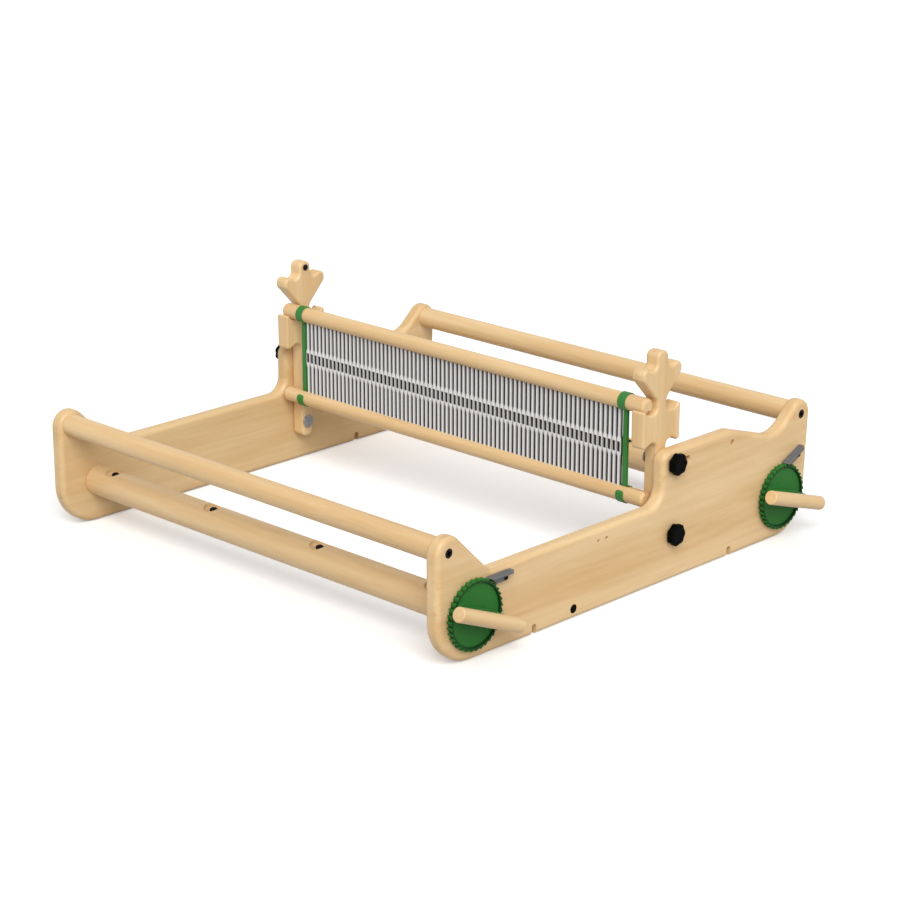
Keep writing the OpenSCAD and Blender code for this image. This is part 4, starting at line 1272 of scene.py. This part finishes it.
@dataclass
class Pawl:
    """A pawl and the screw that it turns on."""

    name: str
    axis: tuple[float, float]
    turn: float
    finishes: Finishes
    plate_w: float = 10.0
    plate_t: float = 2.0
    plate_len: float = 35.0
    rise: float = 5.8
    back: float = 10.7
    lever_t: float = 5.2
    end_r: float = 3.3
    reach_r: float = 38.85
    nose: float = 3.0
    nose_drop: float = 0.6
    corner_cut: tuple[float, float] = (3.4, 4.4)
    corner_rs: tuple[float, float, float] = (0.6, 0.8, 1.2)
    cut_over: float = 2.0
    plate_bevel: float = 0.2
    lever_bevel: float = 0.3
    rib_count: int = 5
    rib_half: tuple[float, float] = (0.45, 0.35)
    rib_stop: float = 5.0
    head: tuple[float, float] = (2.7, 1.4)
    shank_r: float = 2.0
    shank_in: float = 4.0
    neck: float = 0.1
    socket_r: float = 1.4

    @property
    def near(self) -> float:
        """Place of the face next to the panel."""
        return LAYOUT.outer_x + LAYOUT.wheel_gap

    def turned_points(self, rows: Array) -> Array:
        """Turn points about the wheel's axis and move them there."""
        flat = turned_about(rows[..., 1:], self.axis, self.turn)
        return np.concatenate([rows[..., :1], flat], -1)

    def lever(self) -> Array:
        """Side outline: level top, round end at the pivot, level underside, arc over the teeth.

        Returns:
            Points of shape (n, 2), about the wheel's axis.
        """
        y, z = LAYOUT.pawl_pivot
        low = z - self.end_r
        end = np.radians(np.linspace(90, -90, 17))
        round_end = np.stack([y + self.end_r * np.cos(end), z + self.end_r * np.sin(end)], -1)
        top = z + self.rise - self.plate_t / 2
        over = self.over_teeth(low, top)
        return np.concatenate([[[over[-1, 0], top], [y, top]], round_end, over])

    def over_teeth(self, low: float, high: float) -> Array:
        """Arc about the wheel's axis, just over the teeth, between two heights.

        Args:
            low: height of its start above the axis.
            high: height of its end.

        Returns:
            Points of shape (n, 2).
        """
        v = np.linspace(math.asin(low / self.reach_r), math.asin(high / self.reach_r), 9)
        return np.stack([np.cos(v), np.sin(v)], -1) * self.reach_r

    def thumb_plate(self) -> None:
        """Plate with a cut corner, whose wheel end slopes down to the arc over the teeth."""
        y, z = LAYOUT.pawl_pivot
        near, far = self.near, self.near + self.plate_w
        top, low = z + self.rise, z + self.rise - self.plate_t
        start, stop = y + self.back - self.plate_len, y + self.back
        (in_x, in_y), (square, inner, cut) = self.corner_cut, self.corner_rs
        corners = [(near, start, square), (near, stop, inner), (far - in_x, stop, cut),
                   (far, stop - in_y, cut), (far, start, square)]
        flat = rounded_outline([np.array(c) for c in corners], 15)[0]
        solid = Solid().grid(self.turned_points(prism(flat, low, top, 2)))
        above, below, nose_y = top + self.cut_over, low - self.cut_over, start + self.nose
        nose = np.concatenate([self.over_teeth(below, top - self.nose_drop),
                               [[nose_y, top], [nose_y, above], [0.0, above], [0.0, below]]])
        tool = Solid().grid(self.turned_points(prism(nose, near - LAYOUT.cut_past,
                                                     far + LAYOUT.cut_past)))
        piece = soften(new_piece(f"{self.name}_thumb_plate", solid, tool), self.plate_bevel)
        dress(piece, self.name, "grey_plastic", self.finishes.grey)
        ribs = Solid()
        for x in near + np.arange(1, self.rib_count + 1) * self.plate_w / (self.rib_count + 1):
            ring = polygon(8, 1.0) * self.rib_half + [x, top]
            ribs.grid(self.turned_points(prism(ring, nose_y, stop - self.rib_stop, 1)))
        dress(new_piece(f"{self.name}_ribs", ribs, sharp=60), self.name, "grey_plastic",
              self.finishes.grey)

    def screw(self) -> None:
        """Round head screw with a hexagon socket, in the panel."""
        y, z = turned_about(np.array(LAYOUT.pawl_pivot), self.axis, self.turn)
        radius, height = self.head
        base = self.near + self.lever_t + LAYOUT.gap
        start = LAYOUT.outer_x - self.shank_in
        run = base - start
        profile = np.concatenate([[[0.0, self.shank_r], [run - self.neck, self.shank_r]],
                                  domed_head(radius, height) + [run, 0]])
        socket = Solid().grid(prism(polygon(6, self.socket_r) + [y, z], base + height / 2,
                                    base + height + LAYOUT.cut_past))
        piece = new_piece(f"{self.name}_axle", lathe(profile, start, (y, z), 40), socket)
        dress(piece, "frame", "black_steel", self.finishes.black_steel, f"{self.name}_screw")

    def build(self) -> None:
        """Make the thumb plate, the lever under it and the screw."""
        self.thumb_plate()
        lever = prism(self.lever(), self.near, self.near + self.lever_t)
        piece = new_piece(f"{self.name}_lever", Solid().grid(self.turned_points(lever)))
        dress(soften(piece, self.lever_bevel), self.name, "grey_plastic", self.finishes.grey,
              self.name)
        self.screw()


@dataclass
class HeddleHolder:
    """One notched holder with its post screw, clamp bolts and knobs."""

    side: Side
    finishes: Finishes
    thickness: float = 18.0
    edge: float = 3.0
    edge_share: float = 0.88
    edge_growth: float = 0.3
    block_w: float = 61.6
    lobe_w: float = 64.0
    shank_w: float = 16.0
    waist_w: float = 15.0
    post_w: float = 17.4
    shed_rise: float = 48.6
    shed_drop: float = 32.1
    post_rise: float = 19.7
    notch_r: float = 7.0
    arch_r: float = 7.5
    neck_rise: float = 14.4
    lip_h: float = 5.5
    foot_drop: float = 19.2
    lobe_slope: float = 26.7
    neck_slope: float = 47.0
    lip_slope: float = 55.0
    block_slope: float = 26.6
    end_r: float = 7.0
    lobe_top_r: float = 6.5
    lobe_low_r: float = 5.0
    waist_top_r: float = 8.0
    waist_low_r: float = 7.0
    lip_r: float = 2.4
    block_top_r: float = 2.3
    block_low_r: float = 4.0
    slot_stretch: float = 3.2
    slot_play: float = 0.4
    head_r: float = 8.1
    head_h: float = 3.4
    bolt_out: float = 8.4
    neck: float = 0.01
    post_screw: tuple[float, float, float] = (3.7, 2.4, 7.0)
    post_slot: tuple[float, float, float] = (3.0, 0.45, 1.1)
    knob_r: float = 11.9
    knob_gap: float = 0.4
    knob_foot: tuple[float, float] = (1.2, 7.2)
    lobe_depth: float = 0.6
    lobes: int = 7
    # Rows of height, share of the radius and share of the lobes' depth.
    grip_rows: tuple[tuple[float, float, float], ...] = (
        (1.4, 0.93, 1), (1.8, 0.98, 1), (2.5, 1, 1), (6.5, 1, 1), (7.8, 0.97, 1), (8.6, 0.89, 0.9),
        (9.1, 0.76, 0.6), (9.2, 0.55, 0), (8.9, 0.45, 0), (8.8, 0.3, 0))

    @property
    def word(self) -> str:
        """First word of the names on this side."""
        return self.side.name.lower()

    @property
    def outer_face(self) -> float:
        """Distance of the holder's outer face from the loom's middle."""
        return LAYOUT.inner_x - LAYOUT.gap

    @property
    def inner_face(self) -> float:
        """Distance of the holder's inner face from the loom's middle."""
        return self.outer_face - self.thickness

    def corners(self) -> Array:
        """Corners of the clockwise outline. Half of them run from post to foot.

        Returns:
            Rows of (y, z, radius).
        """
        seat, seat_r = LAYOUT.seat_h, LAYOUT.rod_r + LAYOUT.gap
        waist, lobe, post = self.waist_w / 2, self.lobe_w / 2, self.post_w / 2
        block, shank, lip = self.block_w / 2, self.shank_w / 2, seat + self.lip_h

        def rise(slope: float) -> float:
            """Rise for each millimetre along a slope in degrees."""
            return math.tan(math.radians(slope))

        def drop(r: float, slope: float) -> float:
            """How far a rounded corner lies inside its sharp one, for a notch beside a wall."""
            return r * (rise((90 + slope) / 2) - 1)

        notch = seat + self.shed_rise - drop(self.notch_r, self.lobe_slope)
        neck = seat + self.neck_rise
        ahead = LAYOUT.rod_ahead + seat_r * rise(self.lip_slope / 2)
        arch = seat - self.shed_drop + drop(self.arch_r, self.block_slope)
        half = np.array([
            [post, seat + self.shed_rise + self.post_rise, self.end_r],
            [post, notch, self.notch_r],
            [lobe, notch + (lobe - post) * rise(self.lobe_slope), self.lobe_top_r],
            [lobe, neck + (lobe - waist) * rise(self.neck_slope), self.lobe_low_r],
            [waist, neck, self.waist_top_r],
            [waist, seat, self.waist_low_r],
            [ahead, seat, seat_r],
            [ahead + self.lip_h / rise(self.lip_slope), lip, self.lip_r],
            [block, lip, self.block_top_r],
            [block, arch - (block - shank) * rise(self.block_slope), self.block_low_r],
            [shank, arch, self.arch_r],
            [shank, LAYOUT.pivot_bolt_h - self.foot_drop, self.end_r],
        ])
        return np.concatenate([half[::-1] * [-1, 1, 1], half]) + [LAYOUT.holder_in, 0, 0]

    def edges(self, points: Array) -> Array:
        """Edge radii: e = min(edge, share r + growth (|p - corner| - 2 r)) over the outer corners.

        Args:
            points: the outline's points.

        Returns:
            One radius for each point.
        """
        corners = self.corners()
        before, after = np.roll(corners, 1, 0), np.roll(corners, -1, 0)
        into, out = corners[:, :2] - before[:, :2], after[:, :2] - corners[:, :2]
        small = corners[into[:, 0] * out[:, 1] - into[:, 1] * out[:, 0] < 0]
        away = np.linalg.norm(points[:, None] - small[None, :, :2], axis=-1) - 2 * small[:, 2]
        limit = self.edge_share * small[:, 2] + self.edge_growth * np.maximum(0.0, away)
        return np.minimum(self.edge, limit.min(1))

    def board(self) -> None:
        """The holder's board, with the pivot bore and the short upright slot."""
        outline = rounded_outline(list(self.corners()), 6.0)
        body = Solid().grid(plate(outline, self.inner_face, self.outer_face,
                                  self.edges(outline[0]), 5))
        start, end = self.inner_face - LAYOUT.cut_past, self.outer_face + LAYOUT.cut_past
        cuts = Solid().grid(bore(LAYOUT.bolt_r, start, end,
                                 (LAYOUT.holder_in, LAYOUT.pivot_bolt_h)))
        slot = stadium((LAYOUT.holder_in, LAYOUT.slot_bolt_h - self.slot_play), LAYOUT.slot_r,
                       (0.0, self.slot_stretch + 2 * self.slot_play))
        cuts.grid(prism(slot, start, end))
        name = self.word + "_heddle_holder"
        piece = new_piece(name + "_board", body.mirrored(self.side), cuts.mirrored(self.side))
        dress(piece, self.word + "_holder", "panel_wood", self.finishes.holder, name)

    def screw(self) -> None:
        """Round head screw with a slot, on the inner face of the post."""
        radius, height, drop = self.post_screw
        reach, half, depth = self.post_slot
        y, z = LAYOUT.holder_in, LAYOUT.seat_h + self.shed_rise + self.post_rise - drop
        head = Solid().grid(turned(domed_head(radius, height), np.array([self.inner_face, y, z]),
                                   -ACROSS, 40))
        slot = np.array([[-reach, -half], [-reach, half], [reach, half], [reach, -half]]) + [y, z]
        top = self.inner_face - height
        cut = Solid().grid(prism(slot, top - LAYOUT.cut_past, top + depth))
        piece = new_piece(self.word + "_post_screw_head", head.mirrored(self.side),
                          cut.mirrored(self.side))
        dress(piece, self.word + "_holder", "black_steel", self.finishes.black_steel,
              self.word + "_post_screw")

    def bolt(self, kind: str, body: str, height: float, gap: float) -> None:
        """Clamp bolt with a low round head on the holder's inner face.

        Args:
            kind: pivot or slot.
            body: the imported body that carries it.
            height: height of its axis.
            gap: gap under its head.
        """
        face = self.inner_face - gap
        dome = domed_head(self.head_r, self.head_h) * [-1, 1]
        end = LAYOUT.outer_x + self.bolt_out - face
        profile = np.concatenate([dome[::-1], [[self.neck, LAYOUT.bolt_r], [end, LAYOUT.bolt_r]]])
        name = f"{self.word}_{kind}_bolt"
        solid = lathe(profile, face, (LAYOUT.holder_in, height), 56)
        piece = new_piece(name + "_steel", solid.mirrored(self.side))
        dress(piece, body, "bright_steel", self.finishes.zinc, name)

    def knob(self, kind: str, height: float) -> None:
        """Lobed knob: r(v) = k (radius + depth cos(lobes v)), k from the profile's rows.

        Args:
            kind: pivot or slot.
            height: height of its axis.
        """
        top, radius = self.knob_foot
        foot = [(0.0, radius, 0.0), (top, radius, 0.0)]
        rows = np.concatenate([foot, np.array(self.grip_rows) * [1.0, self.knob_r, 1.0]])
        v = np.linspace(0, 2 * np.pi, 140, endpoint=False)
        r = rows[:, 1, None] + self.lobe_depth * rows[:, 2, None] * np.cos(self.lobes * v)
        x = np.broadcast_to(LAYOUT.outer_x + self.knob_gap + rows[:, 0, None], r.shape)
        surface = np.stack([x, LAYOUT.holder_in + r * np.cos(v), height + r * np.sin(v)], -1)
        name = f"{self.word}_{kind}_knob"
        piece = new_piece(name + "_grip", Solid().grid(surface).mirrored(self.side), sharp=50)
        dress(piece, name, "black_plastic", self.finishes.black, name)

    def build(self) -> None:
        """Make every piece of the holder."""
        self.board()
        self.screw()
        self.bolt("pivot", self.word + "_holder", LAYOUT.pivot_bolt_h, 0.0)
        self.bolt("slot", self.word + "_slot_bolt", LAYOUT.slot_bolt_h, LAYOUT.gap)
        self.knob("pivot", LAYOUT.pivot_bolt_h)
        self.knob("slot", LAYOUT.slot_bolt_h)


@dataclass
class Heddle:
    """The heddle: two rods, the reed between them and an end clip at each side."""

    finishes: Finishes
    rod_len: float = 571.4
    rod_end_r: float = 4.0
    blade_count: int = 75
    blade_pitch: float = 6.667
    blade_w: float = 5.8
    eye_block_w: float = 6.3
    blade_depth: float = 6.0
    eye_w: float = 4.7
    eye_h: float = 12.0
    flare_h: float = 6.0
    rail_w: float = 3.2
    groove_w: float = 3.3
    rail_h: float = 4.6
    clip_x: float = 254.8
    ring_w: float = 10.5
    ring_t: float = 1.1
    bar_w: float = 6.0
    bar_depth: float = 4.0
    tip_angle: float = -35.0
    tip_span: float = 26.0
    ring_end: float = 270.0
    tip_r: float = 3.2
    rail_sink: float = 0.4
    groove_r: float = 0.2
    rail_r: float = 0.3
    eye_r: float = 1.0
    bar_r: float = 0.6
    ring_r: float = 0.35
    plain_power: float = 1.5
    square_power: float = 5.0

    def rods(self) -> None:
        """Two dowels with rounded ends and a groove along the side that faces the reed."""
        half, over = self.rod_len / 2, LAYOUT.cut_past
        profile = rounded_bar(self.rod_len, LAYOUT.rod_r, self.rod_end_r, 8)
        for name, height, way in (("heddle_top_rod", LAYOUT.rod_h, -1),
                                  ("heddle_bottom_rod", LAYOUT.rod_low_h, 1)):
            rod = lathe(profile, -half, (LAYOUT.rod_y, height), 72)
            reach = sorted((way * (LAYOUT.rod_r - self.rail_h), way * (LAYOUT.rod_r + over)))
            groove = box_outline((-self.groove_w / 2, reach[0]), (self.groove_w / 2, reach[1]),
                                 self.groove_r) + [LAYOUT.rod_y, height]
            cut = Solid().grid(prism(groove, -half - over, half + over))
            dress(new_piece(name + "_dowel", rod, cut), "heddle", "turned_wood",
                  self.finishes.rod, name)

    def blade(self, low: float, high: float) -> Solid:
        """One blade: |x / a(z)| ** n(z) + |y / b| ** n(z) = 1, with an eye at its middle.

        It is ridged, and about the eye it is wider and nearly square.

        Args:
            low: height of its foot.
            high: height of its top.

        Returns:
            The blade at X = 0, with its eye cut out.
        """
        mid, eye = (low + high) / 2, self.eye_h / 2
        share = np.array([0.0, 0.25, 0.5, 0.75, 1.0])
        up = np.concatenate([[low], mid - eye - self.flare_h * (1 - share),
                             mid + eye + self.flare_h * share, [high]])
        ease = share * share * (3 - 2 * share)
        wide = np.concatenate([[0.0], ease, ease[::-1], [0.0]])
        a = (self.blade_w + (self.eye_block_w - self.blade_w) * wide) / 2
        t = np.linspace(0, 2 * np.pi, 16, endpoint=False)
        power = 2 / (self.plain_power + (self.square_power - self.plain_power) * wide[:, None])
        x = a[:, None] * np.sign(np.cos(t)) * np.abs(np.cos(t)) ** power
        y = LAYOUT.rod_y + self.blade_depth / 2 * np.sign(np.sin(t)) * np.abs(np.sin(t)) ** power
        z = np.broadcast_to(up[:, None], x.shape)
        eye_outline = box_outline((-self.eye_w / 2, mid - eye), (self.eye_w / 2, mid + eye),
                                  self.eye_r)
        cut = Solid().grid(prism(eye_outline, LAYOUT.rod_y - self.blade_depth,
                                 LAYOUT.rod_y + self.blade_depth, 1))
        sample = new_piece("blade_sample", Solid().grid(np.stack([x, y, z], -1)), cut)
        mesh = sample.data
        points = np.empty(len(mesh.vertices) * 3)
        mesh.vertices.foreach_get("co", points)
        faces = [list(p.vertices) for p in mesh.polygons]
        bpy.data.objects.remove(sample)
        bpy.data.meshes.remove(mesh)
        points = points.reshape(-1, 3) / MM + [0.0, LAYOUT.middle_y, 0.0]
        return Solid([points], faces, len(points))

    def reed(self) -> None:
        """The blades between two rails that sit in the rods' grooves."""
        low, high = LAYOUT.rod_low_h + LAYOUT.rod_r, LAYOUT.rod_h - LAYOUT.rod_r
        x = (np.arange(self.blade_count) - (self.blade_count - 1) / 2) * self.blade_pitch
        blade = self.blade(low - self.rail_sink, high + self.rail_sink)
        comb = blade.copies(x[:, None] * ACROSS)
        half = self.blade_count * self.blade_pitch / 2
        rail = box_outline((-self.rail_w / 2, 0.0), (self.rail_w / 2, self.rail_h), self.rail_r)
        for base in (low - self.rail_h, high):
            comb.grid(prism(rail + [LAYOUT.rod_y, base], -half, half))
        piece = new_piece("reed_comb", comb, sharp=40)
        dress(piece, "heddle", "reed_plastic", self.finishes.reed, "reed")

    def clip(self, side: Side) -> None:
        """End clip: a bar, and an open ring round each rod whose tip is rounded off.

        Args:
            side: the side of the heddle.
        """
        mid = (LAYOUT.rod_h + LAYOUT.rod_low_h) / 2
        reach = (LAYOUT.rod_h - LAYOUT.rod_low_h) / 2
        bar = box_outline((-self.bar_w / 2, -self.bar_depth / 2),
                          (self.bar_w / 2, self.bar_depth / 2), self.bar_r)
        bar += [self.clip_x, LAYOUT.rod_y]
        bar_end = reach - LAYOUT.rod_r - self.ring_t / 2
        solid = Solid().grid(prism(bar, mid - bar_end, mid + bar_end, 2))
        outer = LAYOUT.rod_r + self.ring_t
        rest = self.tip_angle + self.tip_span + 4.0
        angle = np.radians(np.concatenate([self.tip_angle + np.linspace(0, self.tip_span, 12),
                                           np.linspace(rest, self.ring_end, 70)]))
        short = np.maximum(0.0, self.tip_r - (angle - angle[0]) * outer)
        inset = self.tip_r - np.sqrt(self.tip_r ** 2 - short ** 2)
        section = box_outline((LAYOUT.rod_r, -self.ring_w / 2), (outer, self.ring_w / 2),
                              self.ring_r)
        width = 1 - 2 * inset / self.ring_w
        radial = np.broadcast_to(section[:, 0], (len(angle), len(section)))
        x = self.clip_x + width[:, None] * section[:, 1]
        y, z = radial * np.cos(angle)[:, None], radial * np.sin(angle)[:, None]
        solid.grid(np.stack([x, LAYOUT.rod_y + y, LAYOUT.rod_h + z], -1))
        solid.grid(np.stack([x, LAYOUT.rod_y - y, LAYOUT.rod_low_h - z], -1))
        name = f"{side.name.lower()}_end_clip"
        piece = new_piece(name + "_moulding", solid.mirrored(side))
        dress(piece, "heddle", "green_plastic", self.finishes.clip_green, name)

    def build(self) -> None:
        """Make every piece of the heddle."""
        self.rods()
        self.reed()
        for side in Side:
            self.clip(side)


@dataclass
class Studio:
    """Pale floor, soft light and the camera at the photograph's angle."""

    camera_at: tuple[float, float, float] = (1.95518, -1.97966, 1.00741)
    pitch: float = 18.21
    yaw: float = 44.18
    lens: float = 102.68
    sensor: float = 36.0
    floor_half: float = 20.0
    floor_colour: str = "F4F4F4"
    floor_shade: str = "B4B4B4"
    floor_glow: float = 0.25
    floor_roughness: float = 0.9
    floor_specular: float = 0.1
    sky: float = 0.5
    key: float = 2.35
    key_soft: float = 40.0
    key_turn: tuple[float, float, float] = (48.0, 8.0, 42.0)

    def camera(self) -> None:
        """Place the camera as fitted to the photograph."""
        data = bpy.data.cameras.new("camera")
        data.lens = self.lens
        data.sensor_width = self.sensor
        camera = bpy.data.objects.new("camera", data)
        camera.location = self.camera_at
        camera.rotation_euler = (math.radians(90 - self.pitch), 0.0, math.radians(self.yaw))
        bpy.context.scene.collection.objects.link(camera)
        bpy.context.scene.camera = camera

    def seen_rays(self, tree: bpy.types.NodeTree) -> Any:
        """Tell the rays that show the stage from those that light the loom.

        Args:
            tree: the node tree.

        Returns:
            Output that is 1 for camera, glossy and transmitted rays, and otherwise 0.
        """
        path = add_node(tree, "LightPath").outputs
        some = add_node(tree, "Math", {"operation": "MAXIMUM"}, i0=path["Is Camera Ray"],
                        i1=path["Is Glossy Ray"])
        return add_node(tree, "Math", {"operation": "MAXIMUM"}, i0=some.outputs[0],
                        i1=path["Is Transmission Ray"]).outputs[0]

    def floor(self) -> None:
        """Matt floor: pale with a little glow to the camera, and greyer in the light it returns."""
        h = self.floor_half
        mesh = bpy.data.meshes.new("floor")
        mesh.from_pydata([(-h, -h, 0), (h, -h, 0), (h, h, 0), (-h, h, 0)], [], [(0, 1, 2, 3)])
        floor = bpy.data.objects.new("floor", mesh)
        bpy.context.scene.collection.objects.link(floor)
        material, tree, shader = new_material("pale_floor")
        seen = self.seen_rays(tree)
        glow = add_node(tree, "Math", {"operation": "MULTIPLY"}, i0=seen, i1=self.floor_glow)
        set_inputs(tree, shader, Base_Color=blend(tree, seen, self.floor_shade, self.floor_colour),
                   Roughness=self.floor_roughness, Specular_IOR_Level=self.floor_specular,
                   Emission_Color=(1, 1, 1, 1), Emission_Strength=glow.outputs[0])
        mesh.materials.append(material)

    def light(self) -> None:
        """A broad soft key from the right front, over an even sky."""
        world = bpy.data.worlds.new("sky")
        bpy.context.scene.world = world
        world.use_nodes = True
        tree = world.node_tree
        back = next(n for n in tree.nodes if n.type == "BACKGROUND")
        set_inputs(tree, back, Color=(1, 1, 1, 1),
                   Strength=ranged(tree, self.seen_rays(tree), self.sky, 1.0))
        sun = bpy.data.lights.new("key", "SUN")
        sun.energy = self.key
        sun.angle = math.radians(self.key_soft)
        lamp = bpy.data.objects.new("key", sun)
        lamp.rotation_euler = [math.radians(angle) for angle in self.key_turn]
        bpy.context.scene.collection.objects.link(lamp)

    def build(self) -> None:
        """Make the whole stage."""
        bpy.context.scene.view_settings.view_transform = "Standard"
        self.camera()
        self.floor()
        self.light()


def main() -> None:
    """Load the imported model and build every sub-assembly round it."""
    logging.basicConfig(level=logging.INFO, format="%(name)s %(message)s")
    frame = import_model()
    Studio().build()
    finishes = Finishes()
    for side in Side:
        SidePanel(side, finishes).build()
    Crossbars(finishes).build()
    RollerSet("cloth_roller", LAYOUT.cloth_axis, 22.6, finishes).build()
    RollerSet("warp_roller", LAYOUT.warp_axis, 17.7, finishes).build()
    Pawl("cloth_pawl", LAYOUT.cloth_axis, 0.0, finishes).build()
    Pawl("warp_pawl", LAYOUT.warp_axis, LAYOUT.warp_pawl_turn, finishes).build()
    for side in Side:
        HeddleHolder(side, finishes).build()
    Heddle(finishes).build()
    for name in ("cloth_handle_screws", "warp_handle_screws"):
        node = frame["nodes"][name]
        node.data.materials.clear()
        node.data.materials.append(finishes.black_steel)


if __name__ == "__main__":
    main()
